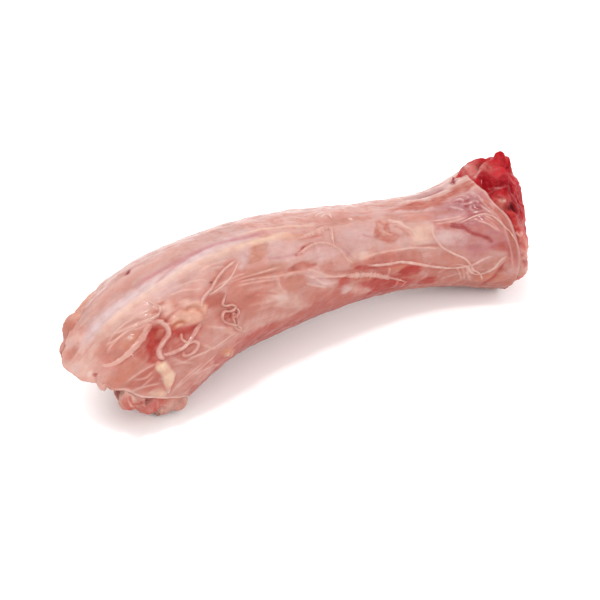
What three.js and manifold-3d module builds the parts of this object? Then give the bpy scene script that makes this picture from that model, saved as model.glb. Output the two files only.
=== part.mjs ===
// Raw chicken neck without its skin, cut across at the head end and at the shoulder end.
// Millimetres, +Z up. X runs along the neck towards the shoulder end, and Z = 0 is the floor.
// A place on the surface is given by along, in millimetres from the head end, and around,
// in degrees from the top of the neck towards -Y.

import * as THREE from 'three';
import { mergeVertices } from 'three/addons/utils/BufferGeometryUtils.js';
import Module from 'manifold-3d';

// Centre x, y and z, half width and half height of the neck, one station every 10 mm.
const STATION_STEP = 10;
const STATIONS = [
  [-60.5, -3.4, 1.3, 17.6, 15.0],
  [-52.5, -3.4, 7.8, 18.0, 15.4],
  [-44.2, -3.8, 14.0, 18.2, 16.4],
  [-34.8, -2.6, 17.2, 17.2, 16.0],
  [-25.0, -0.5, 18.2, 15.8, 15.2],
  [-15.0, 1.0, 18.0, 15.4, 15.0],
  [-5.0, 1.6, 17.8, 14.9, 14.3],
  [5.0, 1.6, 17.3, 14.0, 13.2],
  [15.0, 1.5, 16.2, 12.7, 12.1],
  [24.5, 0.6, 15.5, 12.2, 11.5],
  [34.5, -0.6, 14.8, 12.4, 11.8],
  [44.5, -2.2, 14.8, 14.4, 13.8],
  [54.0, -4.8, 15.2, 16.6, 16.4],
  [63.5, -8.0, 15.4, 17.6, 17.6],
];
const NECK_LENGTH = STATION_STEP * (STATIONS.length - 1);

// Where the membrane and the flesh under it end, as along, every 30 degrees around.
const HEAD_MEMBRANE = [6.5, 4.4, 10.0, 14.2, 18.5, 20.5, 21.0, 21.5, 22.0, 22.0, 21.5, 19.7];
const HEAD_FLESH = [5.0, 4.6, 8.6, 9.5, 11.5, 14.0, 16.0, 17.5, 18.0, 18.0, 16.5, 11.5];
const SHOULDER_MEMBRANE = [114.4, 115.6, 120.4, 122.6, 121, 119.5, 119.5, 119.5, 119, 117, 114.5, 113.5];
const SHOULDER_FLESH = [123.0, 121.0, 122.5, 124.6, 121.8, 120.5, 121.5, 124.5, 128.0, 130.0, 128.5, 126.0];

// The cut faces: a place on the neck's centre line, the outward direction and the swell.
const HEAD_FACE = { along: 13.0, normal: [-0.515, 0.169, -0.84], swell: 5.0 };
const SHOULDER_FACE = { along: 125.0, normal: [0.862, -0.507, 0.0], swell: 2.4 };

// How far the section departs from an ellipse, as shares of its radius: three broad muscles,
// and two that wind round the neck. The belly is drawn in where the head end bends down.
const LOBES = { threefold: 0.03, threefoldAt: 50, twofold: 0.02, twofoldAt: 60 };
const WINDING = { from: 10, length: 55 };
const BELLY_TUCK = { share: 0.12, along: 11, reach: 16, from: 0.35, to: 0.95 };

// Local swells of the flesh: at the back of the shoulder end, and where the head end rests.
const SHOULDER_RISE = { height: 1.7, along: 122, alongReach: 7, around: -40, aroundReach: 30 };
const HEAD_FOOT = { height: 2.0, along: 15, alongReach: 6, around: 178, aroundReach: 45 };

// The rings of a cut end. Beside the cut: the share of the way from the membrane's edge to the
// flesh's edge, and the share of the radius. On the face: the share of the radius alone.
const CUT_SIDE_RINGS = [[0.04, 0.95], [0.4, 0.99], [0.8, 0.985], [1, 0.95]];
const CUT_FACE_RINGS = [0.82, 0.62, 0.44, 0.22];
const CUT_EDGE = 0.95;
const SIDE_LUMPS = { height: 0.75, size: 7 };
const FACE_LUMPS = { height: 0.8, size: 6 };

// The chain of vertebrae through the middle, and the canal seen in it at each cut.
const BONE = { radius: 4.7, wide: 1.08, high: 0.96, waist: 0.6, vertebra: 17, proud: 0.7 };
const BONE_RISE = { height: 4.5, from: 60, to: 120 };
const BONE_MESH = { sides: 16, ringStep: 4 };
const CANAL = { radius: 1.5, depth: 4, rise: 1.2, sides: 10 };
const BONE_GAP = 0.3;

const RINGS = 40;
const RING_SIDES = 36;
const STRAND_MESH = { sides: 5, step: 2.2, proud: 0.25 };

// Nerves, vessels and cords of fat on the membrane: radius, then [along, around] points.
const STRANDS = [
  { radius: 0.9, route: [[23, 41], [23.4, 46], [23, 52], [22.2, 54], [21, 54], [20.2, 56], [20, 60],
    [19.8, 64]] },
  { radius: 0.65, route: [[20.4, 61], [23, 64], [24.8, 64], [26.4, 61], [27.2, 59]] },
  { radius: 0.6, route: [[24.4, 63], [24.8, 68], [24.8, 72], [23.8, 74], [23, 72], [22.8, 67]] },
  { radius: 1.0, route: [[21.6, 36], [19.8, 40], [17.6, 43], [15.2, 42], [12.8, 39], [11, 32]] },
  { radius: 0.6, route: [[30, 47], [31.4, 43], [33.6, 40], [36.2, 34], [39.8, 31], [42.6, 27]] },
  { radius: 0.45, route: [[31.4, 43], [35.8, 44], [38.6, 41], [42.4, 30]] },
  { radius: 0.6, route: [[35.8, 46], [35.2, 55], [34, 56], [34.8, 61], [36, 62], [34.8, 65], [32.6, 65],
    [32.6, 71], [34, 76], [35.6, 79], [35.8, 71], [34.6, 70], [34.8, 81], [35.8, 85], [38, 94]] },
  { radius: 0.6, route: [[35.4, 84], [31.2, 84], [27.2, 81], [22.4, 75]] },
  { radius: 0.5, route: [[78.2, 72], [83.6, 74], [88, 76], [92.6, 81], [97.2, 91], [102, 96], [105.2, 95],
    [109, 92], [111.2, 86], [112.8, 82], [115.4, 84]] },
  { radius: 0.5, route: [[100, 34], [98.4, 45], [98.6, 58], [100.6, 67], [103.6, 77], [106.4, 84],
    [108.4, 92]] },
  { radius: 0.4, route: [[104.6, 45], [107.8, 40], [111.2, 38], [114, 39], [116, 45], [117.8, 53],
    [119.4, 62]] },
  { radius: 0.4, route: [[119, 81], [116.4, 88], [114.6, 99], [111.8, 106], [109.8, 109], [108.2, 101],
    [107, 93]] },
  { radius: 0.65, route: [[60.4, 58], [63, 67], [64.6, 73], [68, 74], [72.2, 76], [78, 81], [81.2, 86],
    [84.2, 94], [87.4, 98], [92, 112]] },
  { radius: 0.6, route: [[57.4, 45], [60.8, 41], [64, 37], [66.4, 38], [68, 41], [68.6, 45]] },
  { radius: 0.6, route: [[62, 27], [66.2, 24], [69.4, 23], [69.6, 27], [69.8, 36], [69, 44], [69.6, 51],
    [70, 57]] },
];

// Lumps of fat and loose flesh: along, around, half sizes along, across and out, and the turn
// of the long side from the neck's length, in degrees.
const LUMPS = [
  [22.4, 21, 2.8, 2.0, 0.8, 30],
  [24.2, 29, 3.4, 2.6, 1.2, 40],
  [25.6, 37, 3.2, 2.8, 1.5, 55],
  [27.2, 45, 3.0, 2.6, 1.3, 70],
  [23.6, 38, 2.6, 2.2, 1.0, 20],
  [18.7, 76, 3.3, 1.7, 1.4, 105],
  [16.4, 88, 2.7, 0.8, 0.8, 115],
  [37.2, 88, 1.3, 1.0, 0.9, 0],
  [32.6, 114, 2.0, 1.5, 1.2, 20],
  [81.0, 86, 1.3, 1.0, 0.9, 0],
  [122.4, -41, 2.3, 2.3, 1.9, 0],
];

const FLOOR_BLOCK = { length: 200, width: 120, depth: 40 };
const END_BLOCK = 60;
const MERGE_DISTANCE = 1e-4;

const FLESH = new THREE.MeshStandardMaterial({ color: 0xd9a193, roughness: 0.32, metalness: 0 });
const VERTEBRAE = new THREE.MeshStandardMaterial({ color: 0xe6c3b4, roughness: 0.5, metalness: 0 });

const wasm = await Module();
wasm.setup();

const UP = new THREE.Vector3(0, 0, 1);
const FULL_TURN = 360;

function smoothstep(from, to, value) {
  const t = THREE.MathUtils.clamp((value - from) / (to - from), 0, 1);
  return t * t * (3 - 2 * t);
}

function bell(distance, reach) {
  return Math.exp(-((distance / reach) ** 2));
}

// Smallest turn from one angle to another, in degrees.
function turn(from, to) {
  return ((((to - from) % FULL_TURN) + FULL_TURN * 1.5) % FULL_TURN) - FULL_TURN / 2;
}

// Uneven bumps of about one unit, from crossed waves.
function ripple(point, size) {
  const x = point.x / size;
  const y = point.y / size;
  const z = point.z / size;
  const wave = Math.sin;
  const first = wave(5.1 * x + 2.3 * wave(2.9 * y + 0.7)) * wave(4.3 * y + 1.9 * wave(3.7 * z + 2.1));
  const second = wave(4.7 * z + 2.1 * wave(3.3 * x + 1.3)) * wave(3.1 * x - 2.7 * y + 0.4);
  return (first + second) / 2;
}

// The uniform cubic B-spline's value, from four neighbouring numbers and the share between.
function blend(a, b, c, d, share) {
  const rest = 1 - share;
  const inner = 3 * share ** 3 - 6 * share ** 2 + 4;
  const outer = -3 * share ** 3 + 3 * share ** 2 + 3 * share + 1;
  return (rest ** 3 * a + inner * b + outer * c + share ** 3 * d) / 6;
}

// A column of the stations at a place along the neck.
function station(column, along) {
  const last = STATIONS.length - 1;
  const place = THREE.MathUtils.clamp(along / STATION_STEP, 0, last);
  const index = Math.min(Math.floor(place), last - 1);
  const value = (row) => {
    if (row < 0) return 2 * STATIONS[0][column] - STATIONS[1][column];
    if (row > last) return 2 * STATIONS[last][column] - STATIONS[last - 1][column];
    return STATIONS[row][column];
  };
  return blend(value(index - 1), value(index), value(index + 1), value(index + 2), place - index);
}

// A closed list of values, read at any angle.
function ringValue(values, around) {
  const count = values.length;
  const place = ((((around % FULL_TURN) + FULL_TURN) % FULL_TURN) / FULL_TURN) * count;
  const index = Math.floor(place);
  const at = (step) => values[(index + step + count) % count];
  return blend(at(-1), at(0), at(1), at(2), place - index);
}

function centre(along) {
  return new THREE.Vector3(station(0, along), station(1, along), station(2, along));
}

// The neck's own directions: forward along it, front towards -Y and lift upwards.
function directions(along) {
  const reach = 0.05;
  const middle = THREE.MathUtils.clamp(along, reach, NECK_LENGTH - reach);
  const forward = centre(middle + reach).sub(centre(middle - reach)).normalize();
  const front = new THREE.Vector3().crossVectors(forward, UP).normalize();
  const lift = new THREE.Vector3().crossVectors(front, forward);
  return { forward, front, lift };
}

// How far the surface swells beyond the plain section, in millimetres.
function swelling(along, around) {
  return [SHOULDER_RISE, HEAD_FOOT].reduce((sum, swell) => sum + swell.height
    * bell(along - swell.along, swell.alongReach)
    * bell(turn(swell.around, around), swell.aroundReach), 0);
}

// A point at a place along and around, at a share of the section's radius.
function surfacePoint(along, around, share = 1) {
  const angle = THREE.MathUtils.degToRad(around);
  const { front, lift } = directions(along);
  const threefold = Math.cos(THREE.MathUtils.degToRad(3 * (around - LOBES.threefoldAt)));
  const twist = (along - WINDING.from) / WINDING.length;
  const twofold = Math.cos(THREE.MathUtils.degToRad(2 * around - LOBES.twofoldAt) - twist);
  const lobes = 1 + LOBES.threefold * threefold + LOBES.twofold * twofold;
  const tuck = 1 - BELLY_TUCK.share * bell(along - BELLY_TUCK.along, BELLY_TUCK.reach)
    * smoothstep(BELLY_TUCK.from, BELLY_TUCK.to, -Math.cos(angle));
  const swell = swelling(along, around);
  const across = (station(3, along) * lobes + swell) * Math.sin(angle) * share;
  const upward = (station(4, along) * lobes * tuck + swell) * Math.cos(angle) * share;
  return centre(along).addScaledVector(front, across).addScaledVector(lift, upward);
}

// Directions on the surface: outwards, and along the neck.
function surfaceFrame(along, around) {
  const reach = 0.2;
  const ahead = surfacePoint(along + reach, around).sub(surfacePoint(along - reach, around)).normalize();
  const across = surfacePoint(along, around + 1).sub(surfacePoint(along, around - 1)).normalize();
  const outward = new THREE.Vector3().crossVectors(ahead, across).normalize();
  const away = surfacePoint(along, around).sub(centre(along));
  if (outward.dot(away) < 0) outward.negate();
  return { ahead, outward, across: new THREE.Vector3().crossVectors(outward, ahead) };
}

// The rings of one cut end, from the membrane's edge to the middle of the cut face.
function endRings(membrane, flesh, face) {
  const rings = [];
  const middle = centre(face.along);
  const normal = new THREE.Vector3(...face.normal).normalize();
  for (const [share, scale] of CUT_SIDE_RINGS) {
    rings.push((around) => {
      const along = THREE.MathUtils.lerp(ringValue(membrane, around), ringValue(flesh, around), share);
      const point = surfacePoint(along, around, scale);
      const outward = point.clone().sub(centre(along)).normalize();
      return point.addScaledVector(outward, share * SIDE_LUMPS.height * ripple(point, SIDE_LUMPS.size));
    });
  }
  for (const share of CUT_FACE_RINGS) {
    rings.push((around) => {
      const edge = surfacePoint(ringValue(flesh, around), around, CUT_EDGE);
      const point = middle.clone().lerp(edge, share);
      const height = face.swell * (1 - share ** 2) + FACE_LUMPS.height * ripple(point, FACE_LUMPS.size);
      return point.addScaledVector(normal, height);
    });
  }
  return { rings, tip: middle.clone().addScaledVector(normal, face.swell) };
}

// A closed mesh from rings of points that run in the direction of the neck, with a tip at each end.
function closedSweep(rings, sides, firstTip, lastTip) {
  const points = [firstTip];
  for (const ring of rings) {
    for (let side = 0; side < sides; side += 1) points.push(ring((FULL_TURN * side) / sides));
  }
  points.push(lastTip);
  const at = (ring, side) => 1 + ring * sides + (side % sides);
  const last = points.length - 1;
  const index = [];
  for (let side = 0; side < sides; side += 1) {
    index.push(0, at(0, side + 1), at(0, side));
    for (let ring = 0; ring < rings.length - 1; ring += 1) {
      const near = at(ring, side);
      const nearNext = at(ring, side + 1);
      const far = at(ring + 1, side);
      const farNext = at(ring + 1, side + 1);
      index.push(near, nearNext, far, nearNext, farNext, far);
    }
    index.push(last, at(rings.length - 1, side), at(rings.length - 1, side + 1));
  }
  const geometry = new THREE.BufferGeometry();
  geometry.setAttribute('position', new THREE.Float32BufferAttribute(points.flatMap((p) => p.toArray()), 3));
  geometry.setIndex(index);
  return geometry;
}

function toSolid(geometry) {
  const plain = geometry.clone();
  for (const name of Object.keys(plain.attributes)) {
    if (name !== 'position') plain.deleteAttribute(name);
  }
  const merged = mergeVertices(plain, MERGE_DISTANCE);
  return new wasm.Manifold(new wasm.Mesh({
    numProp: 3,
    vertProperties: new Float32Array(merged.attributes.position.array),
    triVerts: new Uint32Array(merged.index.array),
  }));
}

function toGeometry(solid) {
  const mesh = solid.getMesh();
  const geometry = new THREE.BufferGeometry();
  geometry.setAttribute('position', new THREE.BufferAttribute(mesh.vertProperties, 3));
  geometry.setIndex(new THREE.BufferAttribute(mesh.triVerts, 1));
  geometry.computeVertexNormals();
  return geometry;
}

// The one largest body of a solid, so that no loose scrap and no sealed hollow is left.
function mainBody(solid) {
  const bodies = solid.decompose();
  return bodies.reduce((best, body) => (body.volume() > best.volume() ? body : best));
}

function fleshSolid() {
  const head = endRings(HEAD_MEMBRANE, HEAD_FLESH, HEAD_FACE);
  const shoulder = endRings(SHOULDER_MEMBRANE, SHOULDER_FLESH, SHOULDER_FACE);
  const length = [];
  for (let ring = 0; ring <= RINGS; ring += 1) {
    const share = ring / RINGS;
    length.push((around) => {
      const along = THREE.MathUtils.lerp(
        ringValue(HEAD_MEMBRANE, around), ringValue(SHOULDER_MEMBRANE, around), share);
      return surfacePoint(along, around);
    });
  }
  const rings = [...head.rings.reverse(), ...length, ...shoulder.rings];
  return toSolid(closedSweep(rings, RING_SIDES, head.tip, shoulder.tip));
}

// A line on the neck's surface through [along, around] points.
class SurfaceRoute extends THREE.Curve {
  constructor(route, height) {
    super();
    const places = route.map(([along, around]) => new THREE.Vector3(along, around, 0));
    this.plan = new THREE.CatmullRomCurve3(places);
    this.height = height;
  }

  getPoint(share, target = new THREE.Vector3()) {
    const place = this.plan.getPoint(share);
    const { outward } = surfaceFrame(place.x, place.y);
    return target.copy(surfacePoint(place.x, place.y)).addScaledVector(outward, this.height);
  }
}

function strandSolid({ radius, route }) {
  const path = new SurfaceRoute(route, radius * STRAND_MESH.proud);
  const section = new THREE.Shape();
  for (let side = 0; side < STRAND_MESH.sides; side += 1) {
    const angle = (2 * Math.PI * side) / STRAND_MESH.sides;
    const point = [radius * Math.cos(angle), radius * Math.sin(angle)];
    if (side === 0) section.moveTo(...point);
    else section.lineTo(...point);
  }
  section.closePath();
  const steps = Math.ceil(path.getLength() / STRAND_MESH.step);
  return toSolid(new THREE.ExtrudeGeometry(section, { steps, extrudePath: path, bevelEnabled: false }));
}

function lumpSolid([along, around, halfLength, halfWidth, halfHeight, slant]) {
  const { ahead, outward, across } = surfaceFrame(along, around);
  const angle = THREE.MathUtils.degToRad(slant);
  const long = ahead.clone().multiplyScalar(Math.cos(angle)).addScaledVector(across, Math.sin(angle));
  const wide = new THREE.Vector3().crossVectors(outward, long);
  const place = new THREE.Matrix4().makeBasis(
    long.multiplyScalar(halfLength), wide.multiplyScalar(halfWidth), outward.multiplyScalar(halfHeight));
  place.setPosition(surfacePoint(along, around));
  return toSolid(new THREE.IcosahedronGeometry(1, 1).applyMatrix4(place));
}

// The vertebrae's centre line runs in the neck's middle and rises towards the shoulder end.
function boneCentre(along, rise = 0) {
  const lift = BONE_RISE.height * smoothstep(BONE_RISE.from, BONE_RISE.to, along) + rise;
  return centre(along).addScaledVector(directions(along).lift, lift);
}

function boneSweep(from, to, grow) {
  const rings = [];
  const count = Math.ceil((to - from) / BONE_MESH.ringStep);
  for (let ring = 0; ring <= count; ring += 1) {
    const along = THREE.MathUtils.lerp(from, to, ring / count);
    const waist = BONE.waist * Math.cos((2 * Math.PI * along) / BONE.vertebra);
    const { front, lift } = directions(along);
    rings.push((around) => {
      const angle = THREE.MathUtils.degToRad(around);
      const radius = BONE.radius + waist + grow;
      return boneCentre(along)
        .addScaledVector(front, radius * BONE.wide * Math.sin(angle))
        .addScaledVector(lift, radius * BONE.high * Math.cos(angle));
    });
  }
  return toSolid(closedSweep(rings, BONE_MESH.sides, boneCentre(from), boneCentre(to)));
}

// A large block whose inner side is the plane through a point, facing along a direction.
function blockBeyond(point, direction) {
  const normal = new THREE.Vector3(...direction).normalize();
  const turned = new THREE.Quaternion().setFromUnitVectors(UP, normal);
  const block = new THREE.BoxGeometry(END_BLOCK, END_BLOCK, END_BLOCK);
  block.translate(0, 0, END_BLOCK / 2);
  block.applyQuaternion(turned);
  return toSolid(block.translate(point.x, point.y, point.z));
}

function canalSolid(face) {
  const forward = directions(face.along).forward;
  const drill = new THREE.CylinderGeometry(CANAL.radius, CANAL.radius, 2 * CANAL.depth, CANAL.sides);
  drill.applyQuaternion(new THREE.Quaternion().setFromUnitVectors(new THREE.Vector3(0, 1, 0), forward));
  const mouth = facePoint(face, CANAL.rise);
  return toSolid(drill.translate(mouth.x, mouth.y, mouth.z));
}

// Where the bone's centre line, raised by rise, meets a cut face.
function facePoint(face, rise = 0) {
  const normal = new THREE.Vector3(...face.normal).normalize();
  const start = boneCentre(face.along, rise);
  const level = centre(face.along).addScaledVector(normal, face.swell + BONE.proud);
  const forward = directions(face.along).forward;
  const distance = level.sub(start).dot(normal) / forward.dot(normal);
  return start.addScaledVector(forward, distance);
}

function boneSolid() {
  let bone = boneSweep(0, NECK_LENGTH, 0);
  for (const face of [HEAD_FACE, SHOULDER_FACE]) {
    bone = bone.subtract(blockBeyond(facePoint(face), face.normal));
    bone = bone.subtract(canalSolid(face));
  }
  return mainBody(bone);
}

function neckSolid() {
  let neck = fleshSolid();
  for (const strand of STRANDS) neck = neck.add(strandSolid(strand));
  for (const lump of LUMPS) neck = neck.add(lumpSolid(lump));
  const channel = boneSweep(0, NECK_LENGTH, BONE_GAP);
  const floor = new THREE.BoxGeometry(FLOOR_BLOCK.length, FLOOR_BLOCK.width, FLOOR_BLOCK.depth);
  floor.translate(0, 0, -FLOOR_BLOCK.depth / 2);
  return mainBody(neck.subtract(channel).subtract(toSolid(floor)));
}

function piece(name, solid, material) {
  const mesh = new THREE.Mesh(toGeometry(solid), material);
  mesh.name = name;
  return mesh;
}

const model = new THREE.Group();
model.add(piece('neck', neckSolid(), FLESH));
model.add(piece('bone', boneSolid(), VERTEBRAE));

const box = new THREE.Box3().setFromObject(model);
const middle = box.getCenter(new THREE.Vector3());
model.position.set(-middle.x, -middle.y, -box.min.z);

export default model;
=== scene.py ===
# Looks of a raw chicken neck without its skin, resting on a pale floor.
# Lengths are in millimetres until a mesh, a light or the camera is made, and in metres from there on.
# A place on the surface is given by along, in millimetres from the head end, and around,
# in degrees from the top of the neck towards -Y.

import math

import bpy
import numpy as np
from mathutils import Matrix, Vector, noise


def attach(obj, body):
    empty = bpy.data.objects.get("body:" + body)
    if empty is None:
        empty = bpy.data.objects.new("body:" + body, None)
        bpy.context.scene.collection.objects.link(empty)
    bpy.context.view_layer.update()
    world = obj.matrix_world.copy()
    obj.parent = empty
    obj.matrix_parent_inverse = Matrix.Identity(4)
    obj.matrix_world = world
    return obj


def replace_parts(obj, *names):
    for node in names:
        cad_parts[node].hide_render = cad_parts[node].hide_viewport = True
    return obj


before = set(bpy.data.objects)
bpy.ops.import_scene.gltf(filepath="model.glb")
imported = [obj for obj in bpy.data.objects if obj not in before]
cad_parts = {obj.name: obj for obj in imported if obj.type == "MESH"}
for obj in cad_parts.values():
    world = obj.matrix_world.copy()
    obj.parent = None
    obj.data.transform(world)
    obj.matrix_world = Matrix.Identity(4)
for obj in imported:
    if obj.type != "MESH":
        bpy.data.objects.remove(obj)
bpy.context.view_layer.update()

MILLIMETRE = 0.001

# The middle of the neck's footprint, in the coordinates of the stations below.
FOOTPRINT_MIDDLE = np.array([1.53, -2.98, 0.0])

# Centre x, y and z, half width and half height of the neck, one station every 10 mm.
STATION_STEP = 10.0
STATIONS = np.array([
    [-60.5, -3.4, 1.3, 17.6, 15.0],
    [-52.5, -3.4, 7.8, 18.0, 15.4],
    [-44.2, -3.8, 14.0, 18.2, 16.4],
    [-34.8, -2.6, 17.2, 17.2, 16.0],
    [-25.0, -0.5, 18.2, 15.8, 15.2],
    [-15.0, 1.0, 18.0, 15.4, 15.0],
    [-5.0, 1.6, 17.8, 14.9, 14.3],
    [5.0, 1.6, 17.3, 14.0, 13.2],
    [15.0, 1.5, 16.2, 12.7, 12.1],
    [24.5, 0.6, 15.5, 12.2, 11.5],
    [34.5, -0.6, 14.8, 12.4, 11.8],
    [44.5, -2.2, 14.8, 14.4, 13.8],
    [54.0, -4.8, 15.2, 16.6, 16.4],
    [63.5, -8.0, 15.4, 17.6, 17.6],
])
NECK_LENGTH = STATION_STEP * (len(STATIONS) - 1)

# Where the membrane and the flesh under it end, as along, every 30 degrees around.
HEAD_MEMBRANE = [3.7, 4.0, 10.0, 14.2, 18.5, 20.5, 21.0, 21.5, 22.0, 22.0, 21.5, 19.7]
HEAD_FLESH = [5.0, 4.6, 8.6, 9.5, 11.5, 14.0, 16.0, 17.5, 18.0, 18.0, 16.5, 11.5]
SHOULDER_MEMBRANE = [114.4, 115.6, 120.4, 122.6, 121, 119.5, 119.5, 119.5, 119, 117, 114.5, 113.5]
SHOULDER_FLESH = [123.0, 121.0, 122.5, 124.6, 121.8, 120.5, 121.5, 124.5, 128.0, 130.0, 128.5, 126.0]

# The cut faces: a place on the neck's centre line, the outward direction and the swell.
HEAD_FACE = {"along": 13.0, "normal": (-0.515, 0.169, -0.84), "swell": 5.0}
SHOULDER_FACE = {"along": 125.0, "normal": (0.862, -0.507, 0.0), "swell": 2.4}

# How far the section departs from an ellipse, as shares of its radius, and its local swells.
LOBES = {"threefold": 0.03, "threefold_at": 50, "twofold": 0.02, "twofold_at": 60}
WINDING = {"start": 10, "length": 55}
BELLY_TUCK = {"share": 0.12, "along": 11, "reach": 16, "low": 0.35, "high": 0.95}
SHOULDER_RISE = {"height": 1.7, "along": 122, "along_reach": 7, "around": -40, "around_reach": 30}
HEAD_FOOT = {"height": 2.0, "along": 15, "along_reach": 6, "around": 178, "around_reach": 45}

# The chain of vertebrae through the middle, and the canal seen in it at each cut.
BONE = {"radius": 4.7, "wide": 1.08, "high": 0.96, "waist": 0.6, "vertebra": 17, "proud": -0.6}
BONE_RISE = {"height": 4.5, "low": 60, "high": 120}
CANAL = {"radius": 1.5, "depth": 4, "rise": 1.2}


def smoothstep(low, high, value):
    t = np.clip((value - low) / (high - low), 0, 1)
    return t * t * (3 - 2 * t)


def bell(distance, reach):
    return np.exp(-((distance / reach) ** 2))


def turn(start, end):
    """Smallest turn from one angle to another, in degrees."""
    return (end - start + 540) % 360 - 180


def unit(vectors):
    return vectors / np.maximum(np.linalg.norm(vectors, axis=-1, keepdims=True), 1e-9)


def blend(a, b, c, d, share):
    """The uniform cubic B-spline's value, from four neighbours and the share between."""
    rest = 1 - share
    inner = 3 * share**3 - 6 * share**2 + 4
    outer = -3 * share**3 + 3 * share**2 + 3 * share + 1
    return (rest**3 * a + inner * b + outer * c + share**3 * d) / 6


def station(along):
    """All columns of the stations at places along the neck."""
    last = len(STATIONS) - 1
    before = 2 * STATIONS[0] - STATIONS[1]
    beyond = 2 * STATIONS[last] - STATIONS[last - 1]
    rows = np.vstack([before, STATIONS, beyond])
    place = np.clip(np.asarray(along, float) / STATION_STEP, 0, last)
    index = np.minimum(place.astype(int), last - 1)
    share = (place - index)[..., None]
    return blend(rows[index], rows[index + 1], rows[index + 2], rows[index + 3], share)


def ring_value(values, around):
    """A closed list of values, read at any angle."""
    values = np.asarray(values, float)
    count = len(values)
    place = (np.asarray(around, float) % 360) / 360 * count
    index = np.floor(place).astype(int)
    near = [values[(index + step) % count] for step in (-1, 0, 1, 2)]
    return blend(*near, place - index)


def centre(along):
    return station(along)[..., :3]


def directions(along):
    """The neck's own directions: forward along it, front towards -Y and lift upwards."""
    reach = 0.05
    middle = np.clip(np.asarray(along, float), reach, NECK_LENGTH - reach)
    forward = unit(centre(middle + reach) - centre(middle - reach))
    front = unit(np.cross(forward, [0.0, 0.0, 1.0]))
    return forward, front, np.cross(front, forward)


def swelling(along, around):
    total = 0
    for swell in (SHOULDER_RISE, HEAD_FOOT):
        along_share = bell(along - swell["along"], swell["along_reach"])
        around_share = bell(turn(swell["around"], around), swell["around_reach"])
        total = total + swell["height"] * along_share * around_share
    return total


def surface(along, around, share=1.0):
    """Points at places along and around, at a share of the section's radius."""
    along, around = np.broadcast_arrays(np.asarray(along, float), np.asarray(around, float))
    angle = np.radians(around)
    _, front, lift = directions(along)
    threefold = np.cos(np.radians(3 * (around - LOBES["threefold_at"])))
    twist = (along - WINDING["start"]) / WINDING["length"]
    twofold = np.cos(np.radians(2 * around - LOBES["twofold_at"]) - twist)
    lobes = 1 + LOBES["threefold"] * threefold + LOBES["twofold"] * twofold
    drawn_in = bell(along - BELLY_TUCK["along"], BELLY_TUCK["reach"])
    low_side = smoothstep(BELLY_TUCK["low"], BELLY_TUCK["high"], -np.cos(angle))
    tuck = 1 - BELLY_TUCK["share"] * drawn_in * low_side
    columns = station(along)
    swell = swelling(along, around)
    across = (columns[..., 3] * lobes + swell) * np.sin(angle) * share
    upward = (columns[..., 4] * lobes * tuck + swell) * np.cos(angle) * share
    return columns[..., :3] + front * across[..., None] + lift * upward[..., None]


def surface_steps(along, around):
    """How the surface moves for a millimetre along and for a degree around."""
    reach = 0.2
    ahead = (surface(along + reach, around) - surface(along - reach, around)) / (2 * reach)
    across = (surface(along, around + 1) - surface(along, around - 1)) / 2
    return ahead, across


def outward_of(along, around):
    """Directions straight out of the surface."""
    ahead, across = surface_steps(along, around)
    outward = unit(np.cross(across, ahead))
    away = surface(along, around) - centre(along)
    return outward * np.sign((outward * away).sum(-1))[..., None]


def straightened(along, around):
    """The places as if the neck were a straight roll, in mm, for grain that follows it."""
    angle = np.radians(around)
    columns = station(along)
    radius = (columns[..., 3] + columns[..., 4]) / 2
    return np.stack([along, radius * np.sin(angle), radius * np.cos(angle)], axis=-1)


def clouds(places, octaves=3):
    """Soft uneven noise at each place, from about -1 to 1."""
    return np.array([noise.fractal(Vector(place), 0.9, 2.1, octaves) for place in places])


# Colours as 0 to 255 red, green and blue.
PALE_PINK = (231, 187, 177)
PINK = (222, 170, 158)
ROSE = (213, 153, 140)
SALMON = (208, 140, 125)
DEEP_SALMON = (201, 122, 108)
RED_MUSCLE = (188, 70, 60)
ORANGE_MUSCLE = (214, 138, 116)
BROWN_PINK = (209, 150, 132)
MAUVE = (204, 138, 140)
GREY_MAUVE = (182, 116, 122)
LAVENDER = (224, 190, 186)
MILKY = (225, 181, 168)
CREAM = (241, 206, 187)
WARM_CREAM = (245, 211, 186)
FAT = (233, 184, 165)
ORANGE_FAT = (224, 154, 124)
TAG_FAT = (250, 222, 190)
CORD = (234, 187, 172)
CORD_PALE = (240, 201, 188)
VESSEL = (170, 66, 66)
CRIMSON = (204, 32, 42)
BLOOD = (142, 2, 16)
# White fibre, and also painted highlights where bright marks are laid with it.
WHITE_FIBRE_AND_HIGHLIGHT = (245, 220, 212)
SPECK = (90, 60, 56)
WET_RED = (222, 92, 92)
# Painted light: a paler pink laid where the flesh faces away from the lamps.
PAINTED_LIGHT_PINK = (248, 208, 194)
GREY_PINK = (188, 164, 158)
# A tendon's pale colour with a painted reflection of the overhead lamp in it.
TENDON_AND_REFLECTION_WHITE = (230, 206, 206)
FRINGE_PINK = (240, 188, 166)
# Painted light: a brighter salmon laid where the shoulder flesh faces away from the lamps.
PAINTED_LIGHT_SALMON = (250, 158, 144)
CORAL_MUSCLE = (226, 104, 94)
DULL_CRIMSON = (190, 50, 50)
# Painted shade for a deep hollow in the shoulder cut and for the bone's canal.
HOLLOW_SHADE = (34, 0, 6)
CANAL_SHADE = (60, 8, 16)

# The lights turn the floor white and the wet film lays white over the flesh, so the red, green
# and blue of each colour under it are this much darker than the eye sees them.
COLOUR_SHARE = np.array([0.485, 0.435, 0.425])


def seen(colour):
    return np.array(colour, float) / 255


def linear(colour):
    """Light values of a colour that is given as the eye sees it, 0 to 1."""
    colour = np.asarray(colour, float)
    return np.where(colour <= 0.04045, colour / 12.92, ((colour + 0.055) / 1.055) ** 2.4) * COLOUR_SHARE


def curve_span(a, b, c, d, count):
    """Points of the smooth curve from b up to c, with a before and d behind them."""
    t = (np.arange(count) / count)[:, None]
    return 0.5 * (2 * b + (c - a) * t + (2 * a - 5 * b + 4 * c - d) * t**2 + (3 * b - a - 3 * c + d) * t**3)


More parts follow.
